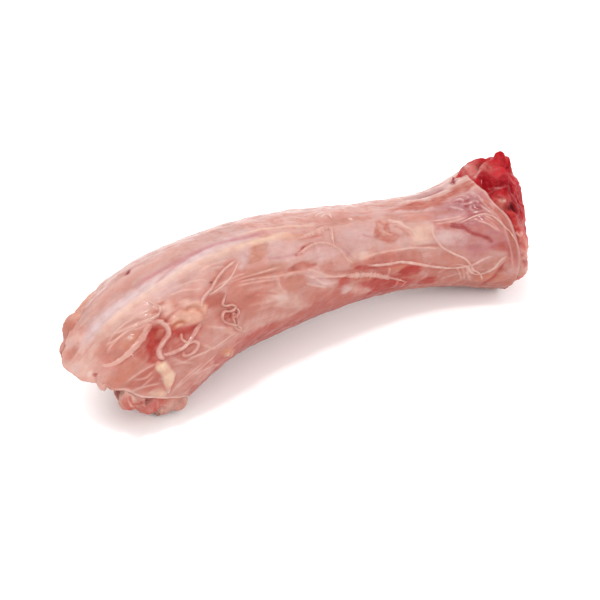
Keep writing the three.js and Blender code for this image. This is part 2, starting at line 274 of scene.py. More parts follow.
def smooth_route(route, shape=surface, step=0.6):
    """A smooth line through [along, around] points, with a point about every step millimetres."""
    knots = np.asarray(route, float)
    padded = np.vstack([2 * knots[0] - knots[1], knots, 2 * knots[-1] - knots[-2]])
    lengths = np.linalg.norm(np.diff(shape(knots[:, 0], knots[:, 1]), axis=0), axis=1)
    spans = []
    for index, length in enumerate(lengths):
        spans.append(curve_span(*padded[index:index + 4], max(2, math.ceil(length / step))))
    spans.append(knots[-1:])
    return np.vstack(spans)


def closed_route(outline, parts=5):
    """A smooth closed line through an outline's points."""
    knots = np.asarray(outline, float)
    spans = []
    for index in range(len(knots)):
        near = (knots[(index + step) % len(knots)] for step in (-1, 0, 1, 2))
        spans.append(curve_span(*near, parts))
    return np.vstack(spans)


def segment_gap(points, start, end):
    """Distance of each point from a straight segment, and how far along it the nearest place is."""
    side = end - start
    t = np.clip((points - start) @ side / max(side @ side, 1e-9), 0, 1)
    return np.linalg.norm(points - start - t[:, None] * side, axis=1), t


class Skin:
    """Places on the neck's surface, with the relief, colour and fibre laid on them layer by layer."""

    def __init__(self, along, around, ground):
        self.along, self.around = (values.ravel() for values in np.broadcast_arrays(along, around))
        self.points = self.shape(self.along, self.around)
        self.height = np.zeros(len(self.points))
        self.tint = np.tile(seen(ground), (len(self.points), 1))
        self.fibre = np.full(len(self.points), 0.35)
        self.streaks = clouds(self.flow())
        self.cover = np.clip(0.88 + 0.4 * clouds(self.points * 0.55 + 9.0, 2), 0.35, 1.0)

    def shape(self, along, around):
        return surface(along, around)

    def flow(self):
        """Where the streaks are read: stretched along the neck, as its fibres are."""
        return straightened(self.along, self.around) * (0.2, 0.85, 0.85)

    def offsets(self, place, along=None, around=None):
        """How far places lie ahead of a place and across from it, in mm over the surface."""
        columns = station(place[0])
        degree = math.radians(1) * (columns[3] + columns[4]) / 2
        along = self.along if along is None else along
        around = self.around if around is None else around
        return along - place[0], turn(place[1], around) * degree

    def lay(self, colour, strength, height, amount, fibre=None):
        self.tint += (seen(colour) - self.tint) * np.clip(amount * strength * self.cover, 0, 1)[:, None]
        self.height += amount * height
        if fibre is not None:
            self.fibre += (fibre - self.fibre) * amount

    def stroke(self, colour, strength, height, width, route, fade=0.15):
        """A soft line of colour and relief along a route. Fade is the share of it that tapers."""
        line = smooth_route(route, self.shape)
        path = self.shape(line[:, 0], line[:, 1])
        reach = width * 3
        inside = np.all((self.points > path.min(0) - reach) & (self.points < path.max(0) + reach), axis=1)
        index = np.flatnonzero(inside)
        best = np.full(len(index), reach * 2.0)
        share = np.zeros(len(index))
        for step in range(len(path) - 1):
            gap, t = segment_gap(self.points[index], path[step], path[step + 1])
            closer = gap < best
            best[closer] = gap[closer]
            share[closer] = (step + t[closer]) / (len(path) - 1)
        amount = np.zeros(len(self.points))
        uneven = 1 + 0.3 * self.streaks[index]
        tapered = smoothstep(0, fade, share)
        amount[index] = bell(best, width * uneven) * tapered * smoothstep(0, fade, 1 - share)
        self.lay(colour, strength, height, amount)

    def strokes(self, groups, fade=0.15):
        """Groups of soft lines: colour, strength, height, width in mm and the routes of each group."""
        for colour, strength, height, width, routes in groups:
            for route in routes:
                self.stroke(colour, strength, height, width, route, fade)

    def patch(self, colour, strength, height, place, size, slant=0):
        """A soft oval of colour and relief. Size is its half length and half width in mm."""
        u, v = oval(*self.offsets(place), size, slant)
        self.lay(colour, strength, height, smoothstep(1.5, 0.5, np.hypot(u, v) + 0.3 * self.streaks))

    def panel(self, colour, strength, height, outline, soft=0.7, fray=0.7, fibre=None):
        """A shape of colour and relief inside a closed outline."""
        self.lay(colour, strength, height, self.inside(outline, soft, fray), fibre)

    def inside(self, outline, soft, fray):
        """How far each point lies inside a closed outline whose soft edges fray in streaks, 0 to 1."""
        knots = np.asarray(outline, float)
        place = knots.mean(0)
        edge = np.stack(self.offsets(place, *closed_route(knots).T), axis=1)
        flat = np.stack(self.offsets(place), axis=1)
        reach = soft + fray
        near = np.all((flat > edge.min(0) - reach) & (flat < edge.max(0) + reach), axis=1)
        away = np.linalg.norm(self.points - self.shape(*place), axis=1)
        near &= away < np.ptp(edge, axis=0).sum() + reach
        index = np.flatnonzero(near)
        points = flat[index]
        gap = np.full(len(index), 99.0)
        within = np.zeros(len(index), bool)
        for start, end in zip(edge, np.roll(edge, -1, axis=0)):
            gap = np.minimum(gap, segment_gap(points, start, end)[0])
            if start[1] != end[1]:
                crossing = start[0] + (points[:, 1] - start[1]) / (end[1] - start[1]) * (end[0] - start[0])
                within ^= ((points[:, 1] < start[1]) != (points[:, 1] < end[1])) & (points[:, 0] < crossing)
        depth = np.where(within, gap, -gap) + fray * self.streaks[index]
        amount = np.zeros(len(self.points))
        amount[index] = smoothstep(-0.7 * soft, 0.7 * soft, depth)
        return amount

    def mound(self, height, place, size, slant=0):
        """The height of a rounded lump at each point."""
        u, v = oval(*self.offsets(place), size, slant)
        return height * np.clip(1 - u**2 - v**2, 0, 1) ** 0.9


def oval(ahead, across, size, slant):
    """Offsets as shares of an oval's half sizes, along and across its long side."""
    angle = math.radians(slant)
    u = (ahead * math.cos(angle) + across * math.sin(angle)) / size[0]
    v = (across * math.cos(angle) - ahead * math.sin(angle)) / size[1]
    return u, v


def lay_ground(skin):
    """The broad colours: pale over the back of the neck, redder to the front and below, where the underside
    is also laid darker as painted shade.
    """
    angle = np.abs(turn(-12, skin.around))
    shade = angle + 10 * skin.streaks
    skin.lay(PALE_PINK, 1.0, 0, smoothstep(62, 18, shade), fibre=0.1)
    skin.lay(BROWN_PINK, 0.55, 0, smoothstep(30, 12, skin.along) * smoothstep(95, 40, shade))
    skin.lay(SALMON, 0.5, 0, smoothstep(70, 100, shade) * smoothstep(26, 40, skin.along))
    # Partly the muscle's redder colour and partly painted shade on the underside.
    skin.lay(DEEP_SALMON, 0.75, 0, smoothstep(98, 124, shade) * smoothstep(22, 34, skin.along))
    for colour, strength, outline in [
        (PINK, 0.8, [(14, -40), (26, -44), (44, -36), (50, -14), (46, 0), (30, -4), (18, -6)]),
        (LAVENDER, 0.55, [(52, -34), (68, -32), (90, -26), (90, -18), (70, -18), (54, -22)]),
        (PINK, 0.6, [(64, 2), (76, 0), (92, 4), (94, 14), (80, 20), (66, 16)]),
        (MILKY, 0.75,
         [(49, 24), (60, 28), (76, 25), (90, 20), (98, 34), (98, 60), (84, 66), (70, 62), (52, 50)]),
        (SALMON, 0.5, [(34, 46), (50, 50), (52, 80), (40, 84), (32, 70)]),
        (SALMON, 0.6, [(74, 60), (92, 60), (96, 78), (98, 96), (84, 90), (72, 76)]),
        (ROSE, 0.7, [(97, 62), (112, 66), (118, 76), (116, 110), (104, 112), (97, 92)]),
        (MAUVE, 0.75, [(101, 26), (110, 34), (118, 54), (119, 74), (108, 74), (100, 66), (99, 40)]),
        (ROSE, 0.5, [(16, 88), (26, 84), (34, 92), (34, 124), (22, 128), (17, 108)]),
        # Painted light: the head end faces away from the lamps, so it is laid paler here.
        (PAINTED_LIGHT_PINK, 0.75, [(2, -14), (9, -22), (13, -8), (13, 14), (12, 34), (11, 46), (2, 50)]),
        (GREY_PINK, 0.3, [(14, -44), (34, -46), (50, -36), (50, 24), (36, 28), (22, 26), (14, 16)]),
        (LAVENDER, 0.5, [(50, 24), (62, 28), (74, 28), (77, 44), (74, 56), (60, 56), (50, 44)]),
        (GREY_MAUVE, 0.45, [(100, 12), (112, 12), (119, 44), (119, 62), (106, 52), (98, 32)]),
        # Partly redder muscle and partly painted shade: the underside and the low front are laid darker and
        # redder.
        (DEEP_SALMON, 0.6, [(36, 98), (60, 94), (96, 92), (96, 128), (60, 130), (36, 124)]),
        (RED_MUSCLE, 0.65,
         [(22, 104), (36, 100), (60, 97), (78, 92), (90, 96), (90, 140), (60, 150), (22, 150)]),
        (PALE_PINK, 0.45, [(27, 60), (36, 62), (38, 80), (32, 88), (25, 78)]),
        (DEEP_SALMON, 0.3, [(70, 46), (80, 50), (86, 60), (84, 72), (74, 66), (68, 54)]),
        (PALE_PINK, 0.5, [(48, 34), (54, 38), (62, 44), (60, 52), (50, 46), (44, 40)]),
        (LAVENDER, 0.4, [(97, 56), (108, 58), (114, 70), (108, 84), (100, 80), (96, 68)]),
        (DEEP_SALMON, 0.35, [(111, 100), (115, 96), (118, 92), (119, 126), (112, 136)]),
        (MAUVE, 0.7,
         [(111, 22), (114.4, 20), (116.5, 32), (118, 44), (119, 56), (119.8, 70), (118, 76), (116, 60),
          (113.6, 46), (111, 34)]),
        (LAVENDER, 0.5, [(76, 18), (88, 16), (98, 26), (97, 46), (88, 56), (78, 54), (75, 36)]),
    ]:
        skin.panel(colour, strength, 0, outline, soft=2.4, fray=2.0)


def lay_tendons(skin):
    """Long bands of tendon and sheath beside the top of the neck."""
    for colour, strength, height, width, route in [
        # Partly the tendon's own colour and partly painted reflection: a pale bluish band where the
        # overhead lamp shows in the wet membrane.
        (TENDON_AND_REFLECTION_WHITE, 0.95, 0.0, 2.3,
         [(8, 13), (13, 12), (18, 8), (24, 9), (30, 11), (36, 9), (44, 8), (54, 12)]),
        (MAUVE, 0.7, -0.1, 0.8, [(22, 0), (28, 2), (34, 3), (40, 4.5), (45, 8), (50, 11), (57, 12)]),
        (MAUVE, 0.45, -0.05, 0.5, [(26, 13), (30, 8), (36, 5)]),
        (CREAM, 0.65, 0.22, 1.4,
         [(10, 26), (13, 21), (17, 17.5), (24, 16), (30, 15.5), (36, 17), (42, 18), (48, 20), (54, 21),
          (59, 24), (63, 27)]),
        (WARM_CREAM, 0.85, 0.15, 0.8, [(44, 19.5), (48, 20.5), (53, 21), (57, 22), (60, 24)]),
        (WHITE_FIBRE_AND_HIGHLIGHT, 0.35, 0.08, 0.4, [(16, 15), (24, 13), (32, 13.5), (40, 15)]),
        (CREAM, 0.85, 0.16, 0.42, [(46, 4.5), (52, 6), (56, 8), (60, 11.5), (64, 15), (68, 18)]),
        (PALE_PINK, 0.7, 0.1, 0.4, [(50, 1), (56, 3), (62, 7), (66, 10)]),
        (CREAM, 0.6, 0.1, 0.5, [(60, 28), (64, 26), (68, 22), (72, 20)]),
        (PALE_PINK, 0.5, 0.08, 1.4, [(12, -9), (16, -10), (20, -13), (26, -15), (34, -17), (44, -18)]),
        (PINK, 0.5, -0.04, 1.6, [(14, -3), (18, -6), (26, -9), (34, -10), (42, -9)]),
        (PALE_PINK, 0.6, 0.1, 0.5, [(38, -22), (50, -20), (62, -15), (74, -12), (84, -10)]),
        (ROSE, 0.45, -0.08, 0.6, [(48, -11), (56, -8), (66, -9), (72, -14)]),
        (ROSE, 0.55, -0.12, 0.7, [(62, 6), (68, 10), (74, 9), (80, 6), (86, 7)]),
        (ROSE, 0.4, -0.12, 0.9, [(66, 17), (70, 20), (75, 17), (82, 15)]),
        (ROSE, 0.5, -0.1, 0.6, [(76, 10), (80, 14), (84, 16)]),
        (ROSE, 0.6, -0.12, 0.8, [(84, -16), (88, -10), (92, -3), (97, 4)]),
        (LAVENDER, 0.6, 0.12, 0.6, [(74, 6), (82, 9), (90, 11), (98, 16), (104, 22)]),
        (PALE_PINK, 0.6, 0.12, 0.5, [(84, 3), (90, 5), (96, 10), (102, 15)]),
        (ROSE, 0.55, -0.12, 0.5, [(86, 15), (92, 17), (98, 22), (104, 28), (109, 31)]),
        # Partly white fibre and partly painted reflection: bright bands near the top at the shoulder end,
        # where the overhead lamp shows in the wet membrane.
        (WHITE_FIBRE_AND_HIGHLIGHT, 0.9, 0.35, 0.7, [(93, -7), (98, -7), (102.5, -7), (106, -9), (109.5, -8)]),
        (WHITE_FIBRE_AND_HIGHLIGHT, 0.6, 0.2, 0.4, [(103, -17), (107, -17), (111, -16), (114.5, -15)]),
        (LAVENDER, 0.7, 0.2, 0.9, [(95, -16), (101, -18), (107, -20), (111, -24)]),
        (MAUVE, 0.6, -0.1, 0.6, [(99, -14), (104, -15), (108, -16)]),
        (PINK, 0.6, 0.15, 0.6, [(60, 32), (68, 29)]),
    ]:
        skin.stroke(colour, strength, height, width, route)
    for colour, strength, height, outline in [
        (DEEP_SALMON, 0.9, 0.15,
         [(90, 8), (96, 1), (103, -2), (109, -2), (113, 1), (112, 9), (105, 13), (97, 15)]),
        (DEEP_SALMON, 0.8, 0.1, [(108.6, -6), (112, -9), (113.8, -4), (113.8, 6), (111, 7), (109, 2)]),
        (SALMON, 0.55, 0.1, [(88, 18), (94, 20), (101, 25), (106, 29), (101, 31), (94, 29), (88, 25)]),
        (ORANGE_FAT, 0.4, 0.1, [(56.5, 25), (60, 23.5), (63, 26), (62, 29.5), (58, 30)]),
        (BROWN_PINK, 0.5, 0, [(72, 14), (79, 12), (81, 17), (76, 20), (71, 20)]),
    ]:
        skin.panel(colour, strength, height, outline, soft=1.2, fray=1.4)


def lay_windows(skin):
    """Muscle that shows darker where the membrane is thin, a little lower than its rims."""
    for colour, strength, height, soft, outline in [
        (DEEP_SALMON, 0.9, -0.4, 0.5,
         [(18.0, 42), (20, 39.5), (22.2, 40), (23, 46), (22.4, 51), (20.2, 53.5), (18.8, 58), (17.4, 60),
          (17.2, 53), (17.0, 47)]),
        (RED_MUSCLE, 0.75, -0.3, 0.4,
         [(21.4, 37), (22.2, 40), (22, 44), (21.2, 48), (20.6, 52), (19.2, 56), (18.2, 60), (17.8, 57),
          (18.6, 52), (19.4, 47), (20.2, 42)]),
        (DEEP_SALMON, 0.8, -0.25, 0.4,
         [(20.6, 56.5), (23, 53.6), (25.6, 55), (27.4, 58), (25, 62), (22.4, 62.5)]),
        (DEEP_SALMON, 0.75, -0.2, 0.4, [(23.7, 42), (25, 44), (26.6, 49), (26.4, 53), (24, 51)]),
        (ORANGE_MUSCLE, 0.5, 0.12, 1.0,
         [(9.6, 47), (13, 46), (16.6, 47.5), (17.2, 52), (16, 57), (12.6, 58.4), (9.6, 53)]),
        (SALMON, 0.6, -0.12, 0.6, [(11.8, 27), (14.6, 25), (17, 27), (17.6, 32), (15, 36), (12.4, 35)]),
        (ORANGE_FAT, 0.6, 0.05, 0.5, [(16.6, 35), (19.2, 34), (19.8, 39), (18.2, 43), (16.8, 40)]),
        (DEEP_SALMON, 0.8, 0.1, 0.6,
         [(12.4, 62), (17, 60), (17.7, 66), (17.2, 76), (16.2, 82), (13.6, 75)]),
        (TAG_FAT, 0.5, 0.05, 0.6, [(13.8, 79), (16.2, 82), (16.5, 89), (15.4, 91), (14.2, 87)]),
        (DEEP_SALMON, 0.8, -0.25, 0.45,
         [(31.4, 45), (35, 45.4), (35.4, 49), (34, 54), (31.6, 53.6), (30.4, 49.6)]),
        (SALMON, 0.6, -0.1, 0.6, [(27, 58), (30, 57), (33, 58), (32, 63), (28, 64)]),
        (DEEP_SALMON, 0.85, -0.3, 0.35, [(32.9, 64), (34.4, 62), (35.2, 65.6), (34.4, 69), (33, 68.4)]),
        (SALMON, 0.7, -0.1, 0.9,
         [(36.8, 53), (41, 52), (46, 56), (49.4, 60), (47, 66), (46, 73), (41, 77), (37.4, 78),
          (36.8, 66)]),
        (DEEP_SALMON, 0.45, 0.1, 0.8, [(38, 60), (44, 62), (46, 68), (42, 74), (38, 72)]),
        (SALMON, 0.6, -0.12, 0.6, [(36, 43), (42, 41), (46, 44), (50, 47), (46, 50.4), (39, 48.6)]),
        (BROWN_PINK, 0.85, -0.25, 0.5,
         [(45.6, 25), (49, 23), (52, 25.6), (51.6, 31), (50, 36), (46.4, 39), (44.6, 37), (46.2, 31)]),
        (BROWN_PINK, 0.8, -0.12, 0.7, [(44, 45), (50, 44.4), (54, 47), (54.4, 51), (48, 53), (42, 50)]),
        (DEEP_SALMON, 0.8, -0.3, 0.4,
         [(54.0, 55), (56, 52), (59, 51.6), (62, 54), (62.4, 57), (58, 58), (55, 57.6)]),
        (SALMON, 0.7, -0.25, 0.4,
         [(51.2, 63.5), (53, 60), (56, 59.4), (58.5, 62), (59, 67), (58.4, 72), (56.6, 76.5), (53.4, 75),
          (51.4, 70)]),
        (BROWN_PINK, 0.6, 0.15, 0.9, [(52.6, 66), (55.5, 65), (57.6, 69), (56.6, 73), (53.6, 73)]),
        (DEEP_SALMON, 0.6, 0.1, 0.8,
         [(73, 66), (78, 62.6), (88, 62.4), (93, 66), (91, 71), (84, 72.4), (78, 72), (74, 69)]),
        (RED_MUSCLE, 0.6, -0.25, 0.4,
         [(73.4, 70), (76.4, 70.4), (79, 73), (80.4, 77), (77, 76.6), (74.4, 74)]),
        (DEEP_SALMON, 0.85, -0.15, 0.5,
         [(79.4, 76), (84, 77), (88.6, 78), (88, 84), (84.4, 89), (82, 85)]),
        (ORANGE_MUSCLE, 0.9, 0.15, 0.5, [(85.4, 80), (89, 79), (90, 84), (88, 88), (86, 86)]),
        (RED_MUSCLE, 0.85, 0.1, 0.6, [(89, 83), (93, 84), (94.4, 92), (93.2, 99), (90, 99), (88, 91)]),
        (RED_MUSCLE, 0.7, 0.0, 0.9,
         [(77, 88), (84, 95), (89, 103), (93, 112), (89, 124), (80, 122), (75, 104)]),
        (ORANGE_MUSCLE, 0.7, 0.1, 0.5, [(72.8, 83), (76, 83), (80, 87), (78.6, 90), (75, 88)]),
        (RED_MUSCLE, 0.55, -0.1, 0.5, [(68.6, 78), (71.6, 79), (72, 86), (70.4, 91), (68.2, 87)]),
        (DEEP_SALMON, 0.6, 0.0, 1.2,
         [(52, 98), (62, 88), (72, 92), (78, 104), (78, 120), (60, 122), (50, 112)]),
        (RED_MUSCLE, 0.75, 0.0, 0.7, [(95.4, 110), (98, 107), (99.4, 114), (98.4, 124), (95.4, 122)]),
        (ORANGE_MUSCLE, 0.8, 0.12, 0.7,
         [(110.4, 112), (114, 105), (117.6, 104), (118.6, 112), (115, 124), (111, 124)]),
        (RED_MUSCLE, 0.45, -0.1, 0.6, [(113, 73), (117, 70), (119.6, 74), (119.6, 80), (116, 79)]),
        (MAUVE, 0.7, 0.0, 1.0, [(107, 70), (112, 66), (116, 68), (114, 77), (109, 82), (106, 78)]),
        (SALMON, 0.6, 0.1, 0.8, [(101, 72), (105, 78), (107, 86), (104, 90), (99, 84)]),
        (ORANGE_FAT, 0.5, 0.1, 0.6, [(12.0, 98), (13.6, 97), (14.4, 104), (13.6, 110), (12.6, 107)]),
        (DEEP_SALMON, 0.45, 0.0, 1.0, [(40, 84), (48, 86), (56, 98), (54, 108), (44, 100), (38, 92)]),
    ]:
        skin.panel(colour, strength, height, outline, soft=soft * 1.6, fray=0.7, fibre=1.0)


def lay_folds(skin):
    """Doubled membrane, milky or bluish where it is thickest."""
    for colour, strength, height, soft, outline in [
        (LAVENDER, 0.85, 0.2, 0.6,
         [(46.4, 20), (47.6, 23), (45.4, 31), (42.4, 39), (41.4, 37), (43.6, 29)]),
        (PALE_PINK, 0.6, 0.12, 0.7,
         [(35.6, 20), (36.6, 23), (33.6, 32), (31.6, 38), (30.8, 36), (33, 27)]),
        (LAVENDER, 0.55, 0.1, 0.8, [(24.4, 19), (28, 17.5), (29.8, 21), (28, 27), (25, 27)]),
        (LAVENDER, 0.5, 0.0, 1.2,
         [(50.6, 27), (56, 25), (60, 30), (60.4, 36), (57, 44), (52, 44), (50, 36)]),
        (LAVENDER, 0.5, 0.0, 1.0,
         [(61, 44), (64, 41), (67.6, 42), (69, 48), (68.4, 55), (64, 56), (61, 52)]),
        (LAVENDER, 0.5, 0.0, 1.4,
         [(70.8, 28), (76, 27), (82, 34), (80, 41), (80, 50), (76, 60), (72, 56), (70.6, 48)]),
        (MILKY, 0.8, 0.3, 1.3,
         [(45.4, 67), (50.4, 66), (52, 72), (54.8, 80), (58, 90), (60, 99), (55, 96), (51, 87),
          (47.6, 79), (45, 72)]),
        (WHITE_FIBRE_AND_HIGHLIGHT, 0.35, 0.1, 0.8, [(47, 70), (50, 69.6), (52, 76), (51, 79), (48.6, 77)]),
        (LAVENDER, 0.6, 0.15, 0.7,
         [(58.4, 58), (61, 60), (64, 67), (67.6, 76), (68, 82), (64.4, 81), (60.4, 73), (58.8, 66)]),
        (MILKY, 0.6, 0.1, 0.9,
         [(70.8, 88), (74, 90), (78, 100), (80.4, 112), (77.4, 113), (73.4, 102), (71, 95)]),
        (LAVENDER, 0.55, 0.15, 0.6, [(69.8, 88), (71.6, 88), (72.4, 95), (71.6, 101), (70, 97)]),
        (CREAM, 0.55, 0.1, 0.9, [(72, 57), (76, 55), (80, 57), (79, 62), (75, 64), (72, 62)]),
        (CREAM, 0.7, 0.1, 1.0, [(92.6, 37), (96.6, 37), (98.6, 42), (98.2, 50), (96, 58), (92.8, 56)]),
        (LAVENDER, 0.75, 0.2, 0.9,
         [(99, 50), (101, 47), (104.6, 50), (105.8, 56), (103.6, 63), (100.6, 66), (98.8, 60)]),
        (LAVENDER, 0.55, 0.12, 0.8,
         [(108.8, 87), (112, 79.6), (117, 77), (118.4, 81), (114.4, 86), (110.4, 91)]),
        (MILKY, 0.6, 0.15, 0.9, [(22, 104), (25.4, 101), (27.4, 108), (26, 119), (22.6, 118)]),
        (MILKY, 0.6, 0.1, 0.9, [(34, 84), (40, 86), (50, 92), (57, 100), (52, 104), (44, 99), (37, 94)]),
        (PALE_PINK, 0.5, 0.1, 0.8, [(36.6, 84), (42, 82), (48, 86), (46, 90), (40, 88)]),
        (MILKY, 0.5, 0.1, 0.7, [(119.6, 84), (122.4, 88), (122.6, 104), (120.6, 106), (119, 96)]),
        (PALE_PINK, 0.55, 0.12, 0.8, [(9.6, 30), (11.8, 29), (12.4, 38), (14, 43), (12, 45), (10, 40)]),
        (WHITE_FIBRE_AND_HIGHLIGHT, 0.25, 0.05, 1.0, [(5.6, 19), (8.6, 18), (10, 23), (9.4, 29), (6.6, 30)]),
        (SALMON, 0.7, -0.1, 0.8, [(6.0, 6), (8, 4), (9.8, 7), (9.6, 11), (7, 12)]),
        (PALE_PINK, 0.6, 0.1, 0.7, [(19.8, 21), (22.6, 19), (24, 24), (22, 28), (20, 26)]),
        (ROSE, 0.6, 0.0, 0.7, [(20.4, 68), (24, 70), (28, 70), (31, 74), (26, 78), (21, 77)]),
        (LAVENDER, 0.5, 0.05, 0.7, [(101, 29), (106, 32), (109, 36), (106, 41), (101, 38)]),
    ]:
        skin.panel(colour, strength, height, outline, soft=soft * 1.7, fray=0.55)


def lay_seams(skin):
    """Thin lines where the membrane dips between muscles or thickens into a thread, and a few short raised
    white marks that are painted highlights.
    """
    skin.strokes([
        (CORD_PALE, 0.5, 0.12, 0.22, [
            [(103.2, 89), (104.8, 99), (106.8, 119)],
            [(105, 88), (106.5, 103), (107.5, 121)],
            [(106.8, 93), (108, 109), (109.5, 123)],
            [(103.8, 87), (102, 94), (99, 102)],
            [(106.5, 103), (103, 109), (100.5, 112)],
        ]),
        (CORD_PALE, 0.3, 0.06, 0.4, [
            [(40, 56), (45, 60), (50, 61.6)],
            [(42, 63), (46, 65.6), (49, 69)],
            [(39, 69), (44, 72), (48, 75)],
            [(41, 77), (46, 79), (51, 84)],
        ]),
        (CORD_PALE, 0.6, 0.16, 0.26, [
            [(36, 43.5), (41, 46), (47, 48.5), (54, 49.4)],
            [(38, 46), (44, 51), (50, 56), (56, 58), (60, 60)],
            [(38, 49), (43, 53), (48, 57), (51, 59)],
            [(20, 71), (23, 78), (28, 83)],
            [(58, 63), (61, 68), (64, 77), (68, 80)],
            [(58, 70), (61, 76), (65, 82)],
            [(30.6, 44), (33, 41.6), (38, 42), (44, 44)],
            [(60, 65), (66, 72), (72, 75)],
        ]),
        (CORD, 0.8, 0.22, 0.4, [
            [(50.4, 56), (50.2, 62), (50.6, 69), (52.6, 75)],
            [(51.4, 59), (55, 58.6), (58.6, 60.6)],
        ]),
        (CORD_PALE, 0.65, 0.12, 0.26, [
            [(10, 59), (13, 69), (17.6, 69)],
            [(12, 65), (15, 73), (17.4, 80)],
            [(13.6, 60), (15.6, 66), (17.6, 65.6)],
            [(16, 99), (20, 92), (26, 90)],
            [(18.6, 96), (24, 94), (30, 95)],
            [(22, 97), (27, 104), (30, 118)],
            [(15.4, 22), (18, 27), (21, 31), (23, 36)],
            [(14, 27), (17, 30), (20.6, 31)],
            [(23, 18), (24.4, 26), (26, 32)],
            [(20, 33), (24, 35), (28, 36)],
            [(22, 29), (25.4, 33.6), (28.4, 33)],
            [(12, 58), (16, 60), (19, 63)],
            [(98, 34), (103, 37), (108, 38)],
            [(99, 39), (104, 41), (109, 40.4)],
            [(113, 42), (116, 50), (118, 58)],
            [(113, 45), (115.4, 53), (117, 62)],
            [(110.6, 45), (114, 52), (116.4, 60)],
            [(103, 88), (106, 92), (107.6, 99), (107, 108)],
            [(105, 90), (108, 97), (109.2, 106)],
            [(112, 104), (116, 96), (118, 84)],
            [(88.4, 102), (88.2, 112), (87.2, 122)],
            [(91, 108), (90.6, 116), (90, 124)],
            [(84.8, 78), (84.8, 86), (84.6, 94)],
            [(118.6, 84), (120, 92), (120.4, 102)],
            [(88, 60), (94, 62), (100, 68)],
            [(76, 61), (84, 60), (92, 61)],
        ]),
        (CORD_PALE, 0.6, 0.14, 0.3, [
            [(16.5, 24), (19, 25), (22, 27), (25, 28)],
            [(14, 30), (16, 26), (19.4, 24.6), (23, 25)],
            [(13, 34), (15, 31), (18, 30), (21, 30)],
            [(17.6, 27), (19, 30), (20, 34), (22, 36)],
            [(20.6, 25), (21.6, 29), (23, 33), (25, 35)],
            [(26, 27), (29, 30), (31, 35), (32.6, 40)],
            [(28, 24), (31, 27), (33, 31), (34, 36)],
            [(36, 27), (38.4, 30), (39, 34)],
            [(33, 24), (37, 24), (41, 27)],
            [(22, 57), (21, 66), (22, 76), (24, 86)],
            [(26, 66), (27, 76), (29, 88)],
            [(28.6, 62), (31, 70), (33, 76)],
        ]),
        (ROSE, 0.8, -0.15, 0.35, [
            [(88.0, 31), (89.6, 35), (90.8, 41), (91.8, 49)],
        ]),
        (CORD_PALE, 0.8, 0.15, 0.17, [
            [(114.0, 22), (115, 32), (116.2, 39), (117.5, 46), (118.5, 53), (119.2, 59), (119.8, 66),
             (120.2, 75)],
            [(114.8, 41), (116.2, 47), (117.5, 53), (118.5, 61), (119.2, 68)],
            [(113.0, 30), (114.2, 37), (115.2, 42), (116.2, 47)],
        ]),
        (DEEP_SALMON, 0.7, -0.1, 0.22, [
            [(114.6, 36), (116.4, 44), (118, 52), (119, 60), (119.6, 67)],
            [(114.4, 43), (115.8, 49), (117.2, 56), (118.2, 64)],
        ]),
        (MAUVE, 0.4, -0.1, 0.35, [
            [(77.4, 36), (80, 41), (84, 43)],
            [(48, 38), (54, 42), (60, 44)],
            [(70.6, 46), (72.4, 56), (74, 63)],
            [(101, 46), (104, 47.6), (106, 48)],
        ]),
        (DEEP_SALMON, 0.5, -0.12, 0.3, [
            [(36.6, 44), (42, 47.6), (49, 51.6), (54, 53)],
            [(41, 61), (45, 65), (50, 72)],
            [(62, 69), (68, 76), (74, 80), (80, 85.6)],
            [(66, 68), (72, 72), (78, 78)],
            [(92, 60), (97, 62), (102, 66)],
            [(113, 46), (115.6, 53), (117.4, 62)],
            [(60, 29.6), (64, 30.6), (68, 30)],
            [(59.4, 41), (61.4, 37.6), (64, 36)],
            [(13, 44.6), (17, 46), (20, 43)],
        ]),
        # Painted highlights: short bright white marks, a little raised, over pale fibre.
        (WHITE_FIBRE_AND_HIGHLIGHT, 0.9, 0.3, 0.5, [
            [(79.8, -13), (80.8, -18), (81.8, -25)],
            [(80.8, -12), (82, -16)],
            [(76.6, 16), (77.6, 13)],
            [(101.2, 0.5), (101.8, 4.6)],
            [(18.1, 33.6), (18.4, 37.8)],
        ]),
    ], fade=0.2)


def lay_torn_spot(skin):
    """A small torn spot: a reddish rim with mottled muscle inside it and a curl of membrane beside it."""
    torn = skin.inside([(84.8, 22), (87, 24), (86.6, 33), (86.8, 40), (88.4, 44), (87.8, 48.6),
                        (85.2, 49.6), (83, 46), (81.8, 42), (82.6, 33)], 0.9, 0.7)
    mottle = 2 * clouds(skin.points * 0.75 + 9.0, 2)
    skin.lay(ORANGE_MUSCLE, 0.4, -0.1, torn)
    skin.lay(DEEP_SALMON, 0.5, -0.12, torn * smoothstep(0.0, 0.7, mottle))
    skin.lay(PALE_PINK, 0.4, 0.12, torn * smoothstep(-0.1, -0.7, mottle))
    skin.patch(DEEP_SALMON, 0.5, 0.1, (85.4, 45.6), (1.8, 1.0), 20)
    for colour, strength, height, width, route in [
        (DEEP_SALMON, 0.45, 0.1, 0.24,
         [(84.8, 21), (83.4, 29), (82, 36), (81.8, 42), (83.4, 46), (85.2, 49)]),
        (DEEP_SALMON, 0.45, 0.1, 0.24,
         [(86.8, 24), (86.8, 32), (86.6, 39), (88.4, 43.6), (88, 48), (85.2, 49.6)]),
        (CORD, 0.7, 0.2, 0.3, [(85.4, 22), (86.2, 17.6), (88, 20), (88.2, 26)]),
        (CORD, 0.6, 0.2, 0.26, [(84.4, 34), (85.6, 40), (87.6, 42.4)]),
    ]:
        skin.stroke(colour, strength, height, width, route)


# The mottled place beside the shoulder cut: its middle, and how far it reaches along and around.
MOTTLED = {"along": 110.5, "around": 26, "along_reach": 5.0, "around_reach": 11}


